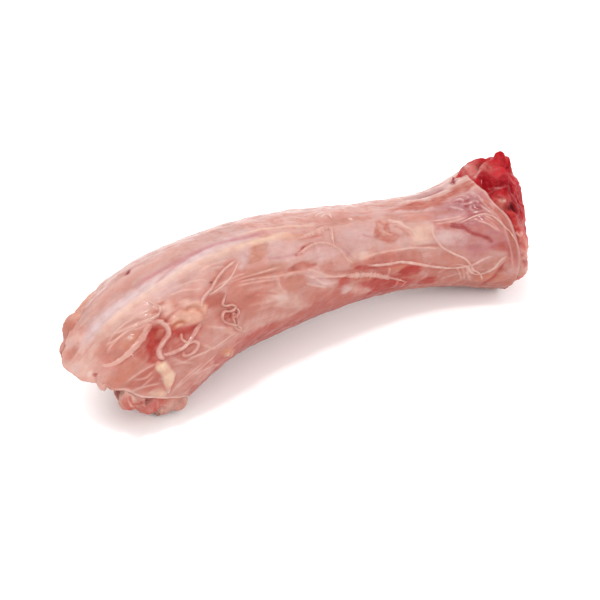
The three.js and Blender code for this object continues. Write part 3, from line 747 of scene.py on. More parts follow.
def lay_mottled_place(skin):
    """Purplish flesh with pale curls of membrane, where blood shows through beside the cut."""
    shown = bell(skin.along - MOTTLED["along"], MOTTLED["along_reach"])
    shown *= bell(turn(MOTTLED["around"], skin.around), MOTTLED["around_reach"])
    skin.lay(GREY_MAUVE, 0.9, 0, shown)
    skin.lay(VESSEL, 0.6, 0, shown * smoothstep(0.1, 0.45, clouds(skin.points * 0.9 + 2.0, 2)))
    skin.strokes([
        (VESSEL, 0.6, -0.15, 0.45, [
            [(108, 20), (110, 22), (111.6, 20)],
            [(110, 31), (112, 34), (114, 37)],
            [(106, 17), (108, 18)],
            [(109, 27), (110.6, 29)],
            [(112.6, 27), (114, 31), (115.6, 38)],
        ]),
        (LAVENDER, 0.85, 0.12, 0.26, [
            [(106, 15), (108.4, 13), (110.6, 15), (111, 18.6), (109.6, 20)],
            [(105.6, 19), (107.2, 17), (109, 17.4), (109.4, 21), (108, 23)],
            [(111.4, 16), (112.6, 17), (112.4, 20)],
            [(110, 12), (112.4, 14), (113.2, 19), (112, 23)],
            [(107.6, 24), (110, 25.6), (112, 25), (113, 28.6), (112, 31)],
            [(111, 28), (110.4, 32), (111.4, 35.6)],
            [(113.6, 22), (114.6, 28), (116, 35), (117.4, 42)],
            [(105, 21), (107, 27), (109, 34)],
            [(113, 33), (114.6, 39), (116.8, 46)],
        ]),
    ], fade=0.25)


def lay_vessels(skin):
    """Dark red vessels, blood specks and a few dark flecks, with a pale patch of painted highlight."""
    for colour, strength, height, width, route in [
        (VESSEL, 0.7, -0.1, 0.5,
         [(104, 45), (106.4, 47.6), (107.6, 52), (109.4, 58), (112, 62), (113.2, 66), (114.2, 71)]),
        (DEEP_SALMON, 0.7, -0.05, 0.9, [(100.6, 42), (103, 44), (106, 47)]),
        (RED_MUSCLE, 0.6, -0.2, 0.6, [(117.8, 86), (117, 96), (115.8, 106), (114, 120), (112, 134)]),
        (RED_MUSCLE, 0.5, -0.1, 0.5, [(118.6, 74), (119.2, 84), (119.4, 94)]),
        (VESSEL, 0.6, -0.05, 0.5, [(112.4, 61), (113.6, 65), (114.4, 70)]),
        (VESSEL, 0.5, -0.1, 0.3, [(57, 45), (59.5, 42), (60.6, 38.6), (62, 37.4)]),
        (BLOOD, 1.0, 0.1, 0.5, [(24.7, -18), (25.4, -22), (26.2, -27)]),
        (BLOOD, 0.7, 0.1, 0.3, [(110.0, -13), (110.8, -19), (111.4, -25)]),
        (VESSEL, 0.5, 0.1, 0.4, [(101, -21), (104, -22)]),
    ]:
        skin.stroke(colour, strength, height, width, route, fade=0.25)
    # Painted highlight: a pale patch where the wet membrane shines.
    skin.patch(PALE_PINK, 0.5, 0.05, (71.6, -3), (3.2, 1.2), 20)
    skin.patch(VESSEL, 0.45, -0.1, (9.0, 37), (0.6, 0.35), 60)
    skin.patch(WHITE_FIBRE_AND_HIGHLIGHT, 0.6, 0.1, (8.2, 33), (0.8, 0.5), 20)
    for place in [(42.5, -24), (34.2, 36.4), (18.9, 78)]:
        skin.patch(SPECK, 0.7, 0.03, place, (0.24, 0.24))


# The mass of fat under the membrane: its outline, the size of its lumps and how far they swell, in mm.
FAT_MASS = {
    "outline": [(24.2, 27), (26.8, 31), (28.4, 37), (30.0, 43), (30.8, 48), (29.8, 53), (27.8, 55.4),
                (26.0, 53), (24.6, 50), (23.2, 47.6), (22.8, 42), (23.2, 36), (23.0, 31)],
    "lump": 3.0,
    "height": 0.7,
}

# Lobules of fat: place, half sizes in mm, slant and height.
FAT_LOBULES = [
    ((26.4, 42.5), (1.9, 1.0), 60, 0.5),
    ((28.8, 46), (1.2, 1.9), 70, 0.6),
    ((28.8, 51.4), (1.6, 1.1), 20, 0.8),
    ((24.8, 34), (1.8, 0.8), 40, 0.4),
    ((37.4, 88), (1.1, 0.8), 0, 0.5),
    ((31.4, 103), (1.6, 1.0), 55, 0.8),
    ((32.8, 109), (1.2, 0.9), 55, 0.7),
]


def lay_fat(skin):
    """Lumpy fat that swells the membrane: pinkish cream, orange and red in its depths, laid darker in the
    valleys between its lumps as painted shade and paler on their crests as painted highlights.
    """
    for colour, strength, outline in [
        (PALE_PINK, 0.5, [(21, 23), (24, 20), (27, 28), (25, 34), (22, 32)]),
        (ORANGE_FAT, 0.85, [(30, 98), (32.6, 98), (34.4, 108), (33.8, 115), (31.6, 108)]),
        (FAT, 0.7, [(32, 76), (35.6, 74), (36.2, 82), (33.4, 84)]),
        (RED_MUSCLE, 0.75,
         [(22.4, 44), (24, 46), (25.4, 51), (27, 55), (27.2, 59), (25, 59), (23.6, 54)]),
    ]:
        skin.panel(colour, strength, 0.1, outline, soft=0.7, fray=0.7)
    mass = skin.inside(FAT_MASS["outline"], 0.9, 0.6)
    lumps = np.abs(clouds(skin.points / FAT_MASS["lump"] + 4.0, 1))
    swell = np.clip(lumps / 0.4, 0, 1) ** 0.7
    rise = np.zeros(len(skin.points))
    for place, size, slant, height in FAT_LOBULES:
        rise = np.maximum(rise, skin.mound(height, place, size, slant))
    skin.lay(FAT, 0.8, 0, mass)
    skin.lay(ORANGE_FAT, 0.9, 0, mass * smoothstep(41, 47, skin.around))
    skin.lay(ROSE, 0.5, 0, mass * smoothstep(44, 36, skin.around))
    # Painted shade in the valleys between the lumps, and painted highlights on their crests.
    skin.lay(DEEP_SALMON, 0.5, 0, mass * (1 - swell))
    crests = np.maximum(mass * smoothstep(0.4, 1.0, swell), smoothstep(0.1, 0.8, rise) * 0.7)
    skin.lay(CORD_PALE, 0.6, 0, crests)
    skin.height += mass * FAT_MASS["height"] * swell + rise * (0.6 + 0.5 * swell)


# The ends' own values. A tear moves an edge along the neck: around, how far in mm and its reach in
# degrees. More than 0 draws the head's edges back and lets the shoulder's edges run on further.
# Inward is the way along that leads into the neck, and ragged is how far the flesh's edge wanders,
# in mm.
HEAD_END = {
    "membrane": HEAD_MEMBRANE,
    "flesh": HEAD_FLESH,
    "face": HEAD_FACE,
    "inward": 1,
    "ragged": 0.9,
    "membrane_tears": [(41, 1.3, 9), (22, 1.1, 10), (50, 0.4, 3.5), (62, 1.1, 7), (-30, 0.6, 5),
                       (-14, 0.5, 4)],
    "flesh_tears": [(42, 2.4, 12), (22, 0.7, 10), (59, 4.2, 7), (76, -1.4, 7), (107, 1.4, 7),
                    (134, -3.6, 8)],
}
SHOULDER_END = {
    "membrane": SHOULDER_MEMBRANE,
    "flesh": SHOULDER_FLESH,
    "face": SHOULDER_FACE,
    "inward": -1,
    "ragged": 0.5,
    "membrane_tears": [(-20, 0.4, 6), (20, 0.5, 8), (49, 0.9, 12), (116, 0.5, 12)],
    "flesh_tears": [],
}

# Where the back of the neck dips beside the shoulder cut, with its half sizes and depth in mm.
BACK_DIP = {"place": (105, -28), "size": (10, 9), "depth": 1.0}


def torn_edge(end, layer, around):
    """Where the membrane or the flesh ends, as along, at any angle around."""
    edge = ring_value(end[layer], around)
    for at, depth, reach in end[layer + "_tears"]:
        edge = edge + depth * bell(turn(at, around), reach)
    return edge


def lay_rims(skin):
    """The membrane's edges: pale and a little thicker where they stand off the flesh, with a second
    thin rim behind the one at the shoulder."""
    skin.height -= skin.mound(BACK_DIP["depth"], BACK_DIP["place"], BACK_DIP["size"])
    head = skin.along - torn_edge(HEAD_END, "membrane", skin.around)
    shoulder = torn_edge(SHOULDER_END, "membrane", skin.around) - skin.along
    low_lip = smoothstep(50, 62, skin.around) * smoothstep(150, 120, skin.around)
    fringe = bell(turn(-24, skin.around), 22)
    head_strength = 0.1 + 0.9 * low_lip + 0.5 * fringe
    shoulder_strength = 0.15 + 0.75 * bell(turn(52, skin.around), 48)
    for gap, shown in ((head, head_strength), (shoulder, shoulder_strength)):
        skin.lay(CORD_PALE, 1.0, 0.2, shown * bell(gap - 0.3, 0.24))
        skin.lay(PALE_PINK, 0.15, 0.0, shown * bell(gap, 1.6))
    for colour, strength, height, gap, breadth, top, low in [
        (MAUVE, 0.8, 0, 1.6, 1.3, (14, 30), (110, 84)),
        (CORD_PALE, 0.6, 0.16, 2.3, 0.22, (4, 20), (110, 84)),
        (DEEP_SALMON, 0.85, -0.1, 1.3, 0.75, (18, 34), (104, 84)),
    ]:
        shown = smoothstep(*top, skin.around) * smoothstep(*low, skin.around)
        skin.lay(colour, strength, height, bell(shoulder - gap, breadth) * shown)


# How many of each lie on the side away from the cords, and the seed of the chance that places them.
FAR_SIDE = {"windows": 18, "folds": 12, "threads": 30, "seed": 11}


def lay_far_side(skin):
    """Windows, folds and threads on the side away from the cords, placed by a seeded chance."""
    chance = np.random.default_rng(FAR_SIDE["seed"])
    for _ in range(FAR_SIDE["windows"]):
        along, around = chance.uniform(28, 108), chance.uniform(-165, -62)
        length, breadth = chance.uniform(3, 8), chance.uniform(5, 12)
        lean = chance.uniform(-6, 6)
        outline = [
            (along - length, around - lean),
            (along - length * 0.4, around - breadth),
            (along, around - breadth),
            (along + length, around + lean),
            (along + length * 0.3, around + breadth * 0.8),
            (along - length * 0.5, around + breadth * 0.6),
        ]
        colour = (DEEP_SALMON, SALMON, ORANGE_MUSCLE, ROSE)[chance.integers(4)]
        skin.panel(colour, chance.uniform(0.3, 0.6), -0.12, outline, soft=0.9, fibre=1.0)
    for _ in range(FAR_SIDE["folds"]):
        place = (chance.uniform(26, 110), chance.uniform(-170, -55))
        size = (chance.uniform(3, 7), chance.uniform(0.8, 2.2))
        colour = (LAVENDER, MILKY, CREAM)[chance.integers(3)]
        skin.patch(colour, chance.uniform(0.4, 0.7), 0.12, place, size, chance.uniform(-25, 25))
    for _ in range(FAR_SIDE["threads"]):
        along, around = chance.uniform(22, 100), chance.uniform(-170, -42)
        drift = chance.uniform(-9, 9)
        route = [(along, around), (along + 6, around + drift), (along + 13, around + drift * 0.6),
                 (along + 20, around + drift * 1.7)]
        colour = (MILKY, PALE_PINK, CREAM)[chance.integers(3)]
        skin.stroke(colour, chance.uniform(0.4, 0.8), 0.16, chance.uniform(0.25, 0.6), route)


# Nerves, vessels and cords of fat on the membrane. Flat is height over breadth, lift is mm above the
# membrane at places along the route, and thick is shares of the radius at such places. Beads is how
# much the radius swells and shrinks. The key for the painted shadow beside a cord, laid as redder flesh
# in a slight dip, gives how strong that shadow is.
CORDS = [
    {"name": "loop_a", "shadow": 0.55, "radius": 0.6, "flat": 0.7, "colour": CORD_PALE,
     "lift": [0.0, 0.1, 0.2, 0.2, 0.1],
     "route": [(22.2, 36), (23.1, 40), (23.3, 46), (22.8, 50.4), (21.4, 53), (20.2, 56), (19.8, 60),
               (19.9, 66)]},
    {"name": "loop_b", "shadow": 0.4, "radius": 0.48, "flat": 0.6, "colour": CORD_PALE,
     "lift": [0.1, 0.1, 0.1],
     "route": [(19.9, 60), (21.6, 64), (23.6, 66), (25.2, 64.4), (27, 60.6), (28.6, 58)]},
    {"name": "loop_c", "shadow": 0.3, "radius": 0.45, "flat": 0.6, "colour": CORD,
     "route": [(24.0, 65.0), (25.6, 67.4), (26.0, 71.6), (25.0, 75), (23.6, 75), (22.8, 71.5),
               (23.4, 68)]},
    {"name": "loop_d", "shadow": 0.3, "radius": 0.34, "flat": 0.6, "colour": CORD, "lift": [0.0, 0.1, 0.0],
     "route": [(24.6, 55), (24.1, 60), (24.6, 66)]},
    {"name": "band_a", "shadow": 0.15, "radius": 0.85, "flat": 0.13, "colour": CORD,
     "lift": [0.0, 0.0, -0.1],
     "route": [(22.4, 36), (21, 38), (18.8, 42), (16.4, 43.6), (13.8, 42.4), (11.8, 38), (10.6, 31)]},
    {"name": "band_b", "radius": 0.3, "flat": 0.5, "colour": CORD, "lift": [0.0, 0.0, -0.1],
     "route": [(22.6, 37), (21.4, 33), (19.4, 30.4), (17, 26), (15, 22)]},
    {"name": "branch_a", "shadow": 0.3, "radius": 0.36, "flat": 0.7, "colour": CORD_PALE,
     "lift": [0.0, 0.2, 0.1, 0.0], "thick": [1.3, 1.1, 1, 0.8],
     "route": [(29.4, 49), (30.4, 45.4), (31.6, 43), (33.6, 40.6), (36, 36), (38.6, 32.4), (42.6, 30)]},
    {"name": "branch_b", "radius": 0.24, "flat": 0.6, "colour": CORD_PALE, "lift": [0.0, 0.0, -0.05],
     "route": [(31.6, 43.4), (34.6, 44), (37.4, 42.4), (40, 38), (42.8, 31)]},
    {"name": "curl", "shadow": 0.45, "radius": 0.34, "flat": 0.8, "colour": CORD,
     "lift": [0.1, 0.3, 0.3, 0.5, 0.2, 0.3, 0.1],
     "route": [(36.2, 44), (35.7, 49), (34.7, 53), (33.9, 56), (34.4, 58.6), (35.6, 60.4), (36.2, 63.4),
               (35.0, 64.6), (33.4, 61.8), (32.3, 65), (32.7, 70), (34.0, 74.6), (35.3, 78.4), (35.8, 73),
               (35.1, 67), (34.7, 72), (34.8, 80), (35.8, 85), (38.4, 94)]},
    {"name": "curl_knot", "shadow": 0.3, "radius": 0.34, "flat": 0.8, "colour": CORD_PALE,
     "lift": [0.3, 0.5, 0.3], "route": [(36.2, 64), (36.6, 68), (35.7, 70.5), (34.9, 69), (35.2, 65.6)]},
    {"name": "curl_lump", "radius": 0.55, "flat": 0.7, "colour": CORD, "lift": [0.0, 0.1, 0.0],
     "route": [(35.2, 79), (35.8, 82), (36.4, 86)]},
    {"name": "trailing", "radius": 0.3, "flat": 0.5, "colour": CORD,
     "route": [(35.4, 84.6), (31.2, 85), (27.2, 82.4), (22.4, 76)]},
    {"name": "side_a", "shadow": 0.2, "radius": 0.42, "flat": 0.4, "colour": CORD_PALE,
     "route": [(75.4, 67), (79, 72.6), (84, 75), (88.4, 76), (92.6, 81), (97.2, 89), (102, 95),
               (105.2, 95.5), (108.8, 92), (111.0, 86.6), (113.2, 83.6), (116.4, 82)]},
    {"name": "side_b", "radius": 0.3, "flat": 0.5, "colour": CORD_PALE,
     "route": [(99.6, 33), (98.4, 44), (98.6, 56), (100.4, 67), (103.4, 76), (106.4, 83.5), (108.0, 92),
               (109.2, 100), (111.0, 106), (112.0, 113), (112.2, 122)]},
    {"name": "side_c", "shadow": 0.2, "radius": 0.22, "flat": 0.55, "colour": CORD_PALE,
     "lift": [0.0, 0.1, 0.0],
     "route": [(104.8, 45.4), (108, 43), (111.2, 41), (113.8, 42), (116, 47.5), (118, 56), (119.6, 63),
               (120.8, 72), (121.4, 81)]},
    {"name": "side_d", "radius": 0.34, "flat": 0.5, "colour": CORD_PALE,
     "route": [(119, 82), (116.6, 88), (114.8, 98), (112.2, 105.6), (110.0, 108), (108.4, 103),
               (107.2, 94), (105.2, 91)]},
    {"name": "main_a", "radius": 0.36, "flat": 0.4, "colour": CORD, "lift": [0.0, -0.05, 0.0],
     "route": [(58.6, 58), (61, 61), (63, 66), (65.2, 70), (67, 73.4), (69.4, 75.6), (72.4, 77.4)]},
    {"name": "main_b", "shadow": 0.35, "radius": 0.5, "flat": 0.6, "colour": CORD, "beads": 0.28,
     "lift": [0.0, 0.1, 0.1], "thick": [0.6, 1.2, 1.3, 1.2, 0.9, 0.5, 0.5],
     "route": [(69.4, 75.6), (72.2, 78), (75.8, 81), (79, 84), (82.6, 90), (85.2, 95), (89, 104),
               (92.4, 114)]},
    {"name": "main_knot", "radius": 0.7, "flat": 0.6, "colour": CORD, "lift": [0.0, 0.1, 0.0],
     "route": [(83.4, 91), (84.6, 94.4), (85.4, 97)]},
    {"name": "fork_a", "shadow": 0.15, "radius": 0.38, "flat": 0.65, "colour": CORD, "beads": 0.2,
     "lift": [-0.1, 0.1, 0.2, 0.1],
     "route": [(57.2, 45), (60.2, 41.5), (63.4, 38.2), (66.2, 38.4), (68, 41), (69, 44.6), (70.0, 50)]},
    {"name": "fork_b", "shadow": 0.15, "radius": 0.52, "flat": 0.6, "colour": CORD, "beads": 0.3,
     "lift": [-0.1, 0.1, 0.2, 0.0], "thick": [0.8, 1.0, 1.3, 1.2, 1.0, 0.6],
     "route": [(60.4, 29.6), (63.4, 27.6), (66, 25.6), (69, 22.6), (69.9, 26.4), (69.6, 33), (69.2, 40),
               (69.2, 46)]},
    {"name": "fork_c", "radius": 0.24, "flat": 0.5, "colour": CORD, "lift": [0.0, 0.0, -0.05],
     "route": [(69.4, 44), (70.4, 52), (71.6, 60), (73.4, 66)]},
    {"name": "tag", "shadow": 0.5, "radius": 0.62, "flat": 0.38, "colour": TAG_FAT,
     "lift": [0.2, 0.4, 0.5, 0.4, 0.2], "thick": [1.4, 2.1, 2.4, 2.4, 2.1, 1.3, 0.6],
     "route": [(19.0, 61), (18.9, 66), (18.9, 72), (18.6, 79), (17.7, 85), (16.6, 91)]},
    {"name": "tag_tip", "radius": 0.42, "flat": 0.7, "colour": WHITE_FIBRE_AND_HIGHLIGHT, "lift": [0.4, 0.3, 0.2],
     "route": [(17.8, 85), (17.1, 89), (16.4, 92.6)]},
    {"name": "red_thread", "radius": 0.34, "flat": 0.4, "colour": VESSEL, "lift": [-0.05, -0.05, -0.1],
     "beads": 0.2, "thick": [2.6, 1.9, 1.2, 0.9, 0.6, 0.5],
     "route": [(102.6, 43), (104.8, 46), (107, 50.5), (108.6, 56.6), (111, 60.6), (112.6, 65),
               (113.6, 69)]},
    # The three swirls are pale fibres whose bright white is also a painted highlight of the wet membrane.
    {"name": "swirl_a", "radius": 0.24, "flat": 0.35, "colour": WHITE_FIBRE_AND_HIGHLIGHT,
     "route": [(65.6, -1), (67.6, -5), (69.6, -8), (71.6, -10), (73.4, -10), (75, -8), (76, -3)]},
    {"name": "swirl_b", "radius": 0.22, "flat": 0.35, "colour": WHITE_FIBRE_AND_HIGHLIGHT,
     "route": [(68.5, 3), (70.5, -3), (72.2, -4), (73.0, -1), (72.8, 6)]},
    {"name": "swirl_c", "radius": 0.22, "flat": 0.35, "colour": WHITE_FIBRE_AND_HIGHLIGHT,
     "route": [(69.8, 6), (71.5, 0), (72.5, 1), (72.8, 9)]},
    {"name": "pale_edge", "radius": 0.42, "flat": 0.35, "colour": CORD_PALE, "lift": [0.0, 0.1, 0.0],
     "thick": [0.4, 1.2, 1.4, 1.0, 0.8, 0.4],
     "route": [(86.8, 22), (88.8, 25.6), (90.4, 29), (91.2, 34), (92.4, 39), (93.0, 43), (93.4, 51)]},
    {"name": "fat_edge", "radius": 0.3, "flat": 0.5, "colour": CORD_PALE,
     "lift": [0.0, 0.2, 0.2, 0.1, 0.0],
     "route": [(23.4, 17), (24.0, 26), (24.4, 31), (23.4, 35), (22.0, 33), (20.5, 31)]},
    {"name": "shred_b", "radius": 0.6, "flat": 0.7, "colour": PINK, "lift": [0.0, 0.1, 0.2],
     "route": [(9.6, 38), (8.8, 41), (8.2, 46), (8.8, 50)]},
    {"name": "back_fold", "radius": 0.7, "flat": 0.6, "colour": LAVENDER, "lift": [0.0, 0.3, 0.3, 0.1],
     "route": [(94, -14), (99, -17), (105, -19), (110, -21), (112.6, -24)]},
    {"name": "back_shred", "radius": 0.4, "flat": 0.8, "colour": VESSEL, "lift": [0.2, 0.7, 0.9],
     "route": [(109.6, -15), (110.4, -20), (111.4, -27)]},
]


def lay_cord_shadows(skin):
    """Painted shadow beside the cords: redder, darker flesh in a slight dip."""
    for cord in CORDS:
        if "shadow" in cord:
            skin.stroke(RED_MUSCLE, cord["shadow"], -0.12, cord["radius"] * 2.4, cord["route"])


def lay_veils(skin):
    """Cloudy places where the membrane is thicker, and ruddy ones where it is thin."""
    veils = clouds(skin.points * 0.33, 3)
    fine = clouds(skin.points * 0.9 + 5.0, 2)
    skin.lay(LAVENDER, 0.38, 0.05, smoothstep(0.05, 0.6, veils + 0.4 * fine))
    sides = smoothstep(20, 60, np.abs(skin.around))
    skin.lay(DEEP_SALMON, 0.3, 0, smoothstep(0.05, 0.6, -veils + 0.4 * fine) * sides)


def lay_wrinkles(skin):
    """Low uneven swells of the muscles, fine puckers of the membrane and its long streaks."""
    places = straightened(skin.along, skin.around)
    swells = clouds(places * (0.24, 0.27, 0.27))
    puckers = clouds(places * (0.7, 0.75, 0.75), 2)
    threads = clouds(places * (0.13, 1.5, 1.5), 2)
    skin.height += 0.24 * swells + (0.02 + 0.05 * skin.fibre) * puckers + 0.02 * threads
    skin.tint *= (1 + 0.02 * swells + 0.02 * puckers + 0.01 * threads)[:, None]


# What is laid over the broad colours, from the lowest layer to the uppermost.
LAYERS = [lay_veils, lay_far_side, lay_tendons, lay_windows, lay_folds, lay_mottled_place, lay_seams,
          lay_torn_spot, lay_fat, lay_vessels, lay_rims, lay_cord_shadows, lay_wrinkles]

# How much the details stand out from the broad colours under them.
DETAIL = 1.3


def dress_skin(skin):
    """The broad colours, and every layer over them."""
    lay_ground(skin)
    ground = skin.tint.copy()
    for layer in LAYERS:
        layer(skin)
    skin.tint = np.clip(ground + (skin.tint - ground) * DETAIL, 0.0, 1.0)
    return skin


# Points of the membrane round it and along it, how much closer they lie on one side, and which side.
SLEEVE = {"sides": 284, "rings": 336, "closer": 0.5, "closest": 45}

# How the membrane's edge turns in, in mm back along the neck and out from the surface, and how far
# the edge wanders.
RIM_TURN = [(-0.10, -0.10), (-0.08, -0.32), (0.15, -0.75), (0.80, -1.50)]
RIM_WOBBLE = 0.16


def side_angles(count):
    """Angles round the neck, closer together on the side of the cords."""
    share = np.arange(count) / count
    shift = SLEEVE["closer"] * 360 / (2 * math.pi)
    return 360 * share - shift * np.sin(2 * math.pi * (share - SLEEVE["closest"] / 360))


def row_frame(points):
    """Millimetres from the stations' coordinates to the frame's metres, never under the floor."""
    moved = (points - FOOTPRINT_MIDDLE) * MILLIMETRE
    moved[..., 2] = np.maximum(moved[..., 2], 0.0)
    return moved


def tube_faces(rings, sides):
    """The quads between rings of points, each ring closed."""
    ring = np.arange(rings - 1)[:, None] * sides
    side = np.arange(sides)[None, :]
    following = (side + 1) % sides
    corners = [ring + side, ring + following, ring + sides + following, ring + sides + side]
    return np.stack([corner.ravel() for corner in corners], axis=1).tolist()


def strip_faces(rows, columns):
    """The quads of an open grid of points."""
    first = np.arange(rows - 1)[:, None] * columns + np.arange(columns - 1)[None, :]
    corners = [first, first + 1, first + columns + 1, first + columns]
    return np.stack([corner.ravel() for corner in corners], axis=1).tolist()


def tube_ends(rings, sides):
    """The two faces that close a tube."""
    first = (rings - 1) * sides
    return [list(range(sides))[::-1], [first + side for side in range(sides)]]


def add_values(mesh, name, kind, field, values):
    layer = mesh.attributes.new(name, kind, "POINT")
    layer.data.foreach_set(field, np.ascontiguousarray(values, dtype=np.float32).ravel())


def make_piece(name, points, faces, material, tint, fibre, grain):
    """A smooth mesh of the neck. Tint is the colour at each point, and grain where its noise is read."""
    mesh = bpy.data.meshes.new(name)
    mesh.from_pydata(row_frame(points).tolist(), [], faces)
    mesh.shade_smooth()
    light = np.ones((len(points), 4))
    light[:, :3] = linear(np.clip(tint, 0, 1))
    add_values(mesh, "tint", "FLOAT_COLOR", "color", light)
    add_values(mesh, "fibre", "FLOAT", "value", np.broadcast_to(fibre, len(points)))
    add_values(mesh, "grain", "FLOAT_VECTOR", "vector", grain)
    mesh.materials.append(material)
    piece = bpy.data.objects.new(name, mesh)
    bpy.context.scene.collection.objects.link(piece)
    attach(piece, "root")
    return piece


def make_membrane(material):
    """The sleeve of membrane over the muscles, from its torn edge at the head to that at the shoulder."""
    around = side_angles(SLEEVE["sides"])
    angle = np.radians(around)
    circle = np.stack([np.cos(angle) * 5, np.sin(angle) * 5, np.full(len(angle), 2.0)], axis=1)
    wobble = RIM_WOBBLE * clouds(circle)
    head = torn_edge(HEAD_END, "membrane", around) + wobble
    shoulder = torn_edge(SHOULDER_END, "membrane", around) - wobble
    share = np.linspace(0, 1, SLEEVE["rings"] + 1)[:, None]
    along = head + (shoulder - head) * share
    skin = dress_skin(Skin(along, np.broadcast_to(around, along.shape), ROSE))
    grid = (len(share), SLEEVE["sides"])
    outward = outward_of(skin.along, skin.around)
    points = (skin.points + outward * skin.height[:, None]).reshape(*grid, 3)
    outward = outward.reshape(*grid, 3)
    ahead = unit(surface_steps(skin.along, skin.around)[0]).reshape(*grid, 3)
    head_rim = [points[0] + ahead[0] * back + outward[0] * out for back, out in reversed(RIM_TURN)]
    shoulder_rim = [points[-1] - ahead[-1] * back + outward[-1] * out for back, out in RIM_TURN]
    all_points = np.concatenate([np.array(head_rim), points, np.array(shoulder_rim)])
    repeat = [0] * len(RIM_TURN) + list(range(grid[0])) + [grid[0] - 1] * len(RIM_TURN)
    tint = skin.tint.reshape(*grid, 3)[repeat].reshape(-1, 3)
    fibre = skin.fibre.reshape(grid)[repeat].ravel()
    grain = straightened(skin.along, skin.around).reshape(*grid, 3)[repeat].reshape(-1, 3)
    faces = tube_faces(len(repeat), SLEEVE["sides"])
    piece = make_piece("membrane", all_points.reshape(-1, 3), faces, material, tint, fibre, grain)
    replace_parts(piece, "neck")


# Rows of a cut end: under the membrane, beside the cut, and over the face. The last row is the edge
# of the cap that closes the face.
CUT_ROWS = {"under": 5, "beside": 36, "face": 62, "last": 1.985}
CUT_SIDES = 250

# The share of the radius at places from -1, under the membrane, past its edge at 0 to the flesh's
# edge at 1, and how many mm the flesh runs on under the membrane.
CUT_PROFILE = ([-1, 0, 0.35, 0.8, 1], [0.93, 0.972, 0.985, 0.985, 0.955])
UNDER_MEMBRANE = 3.0

# How many mm behind its face a cut surely has flesh, and the rows over which the relief turns to
# stand straight out of the face.
WELL_INSIDE = 8
FACE_TURN = (1.85, 1.97)


class Cut(Skin):
    """The flesh at a cut end. Its along is a row: -1 lies under the membrane, 0 at its edge,
    1 at the flesh's edge and 2 in the middle of the cut face."""

    def __init__(self, end, row, around, ground):
        self.end = end
        super().__init__(row, around, ground)

    def shape(self, row, around):
        row, around = np.broadcast_arrays(np.asarray(row, float), np.asarray(around, float))
        face = self.end["face"]
        angle = np.radians(around)
        ragged = self.end["ragged"] * np.sin(7 * angle + 1.1) * np.sin(4 * angle + 0.4)
        membrane = torn_edge(self.end, "membrane", around)
        flesh = torn_edge(self.end, "flesh", around) + ragged
        beside = np.clip(row, 0, 1)
        under = np.clip(-row, 0, 1) * UNDER_MEMBRANE * self.end["inward"]
        side = surface(membrane + (flesh - membrane) * beside + under, around, np.interp(row, *CUT_PROFILE))
        share = np.clip(2 - row, 0, 1)[..., None]
        middle = centre(face["along"])
        swell = unit(np.array(face["normal"])) * face["swell"] * (1 - share**2)
        return np.where(row[..., None] > 1, middle + (side - middle) * share + swell, side)

    def flow(self):
        return self.points * 0.6

    def offsets(self, place):
        step = 0.02
        here = self.shape(*place)
        ahead = unit(self.shape(place[0] + step, place[1]) - self.shape(place[0] - step, place[1]))
        across = self.shape(place[0], place[1] + 1) - self.shape(place[0], place[1] - 1)
        across = unit(across - ahead * (across @ ahead))
        outward = np.cross(ahead, across)
        away = self.points - here
        beyond = 4 * np.maximum(np.abs(away @ outward) - 5, 0)
        return away @ ahead + beyond, away @ across


def grid_normals(points, inside):
    """Directions out of a closed grid of points, away from a point inside it."""
    down = np.gradient(points, axis=0)
    beside = np.roll(points, -1, axis=1) - np.roll(points, 1, axis=1)
    normals = unit(np.cross(down, beside))
    return normals * np.sign(((points - inside) * normals).sum(-1, keepdims=True))


def lay_torn_muscle(cut, pale, dark, lump, grain):
    """Torn muscle: soft masses that part in dark folds, and the fine grain of its fibres. The folds and low
    places are laid darker as painted shade, and the swells and the grain's rises paler as painted light.
    """
    broad = clouds(cut.points / lump["size"], 2)
    folds = np.abs(clouds(cut.points / (lump["size"] * 1.6) + (7.1, 3.3, 1.7), 1))
    small = clouds(cut.points / grain["size"], 2)
    shown = smoothstep(-0.1, 0.6, cut.along)
    crease = smoothstep(0.10, 0.0, folds)
    cut.height += shown * (lump["height"] * (broad - 0.4 * crease) + grain["height"] * small)
    # Painted shade in the folds and low places, and painted light on the swells and raised grain.
    cut.lay(dark, 0.5, 0, np.maximum(crease * 0.7, smoothstep(-0.15, -0.6, broad)))
    cut.lay(pale, 0.35, 0, smoothstep(0.15, 0.7, small))
    cut.lay(pale, 0.5, 0, smoothstep(0.15, 0.6, broad))


def lay_lobes(cut, lobes):
    """Swells and dents of the flesh: height in mm, place and half sizes."""
    for height, place, size in lobes:
        cut.height += cut.mound(height, place, size)


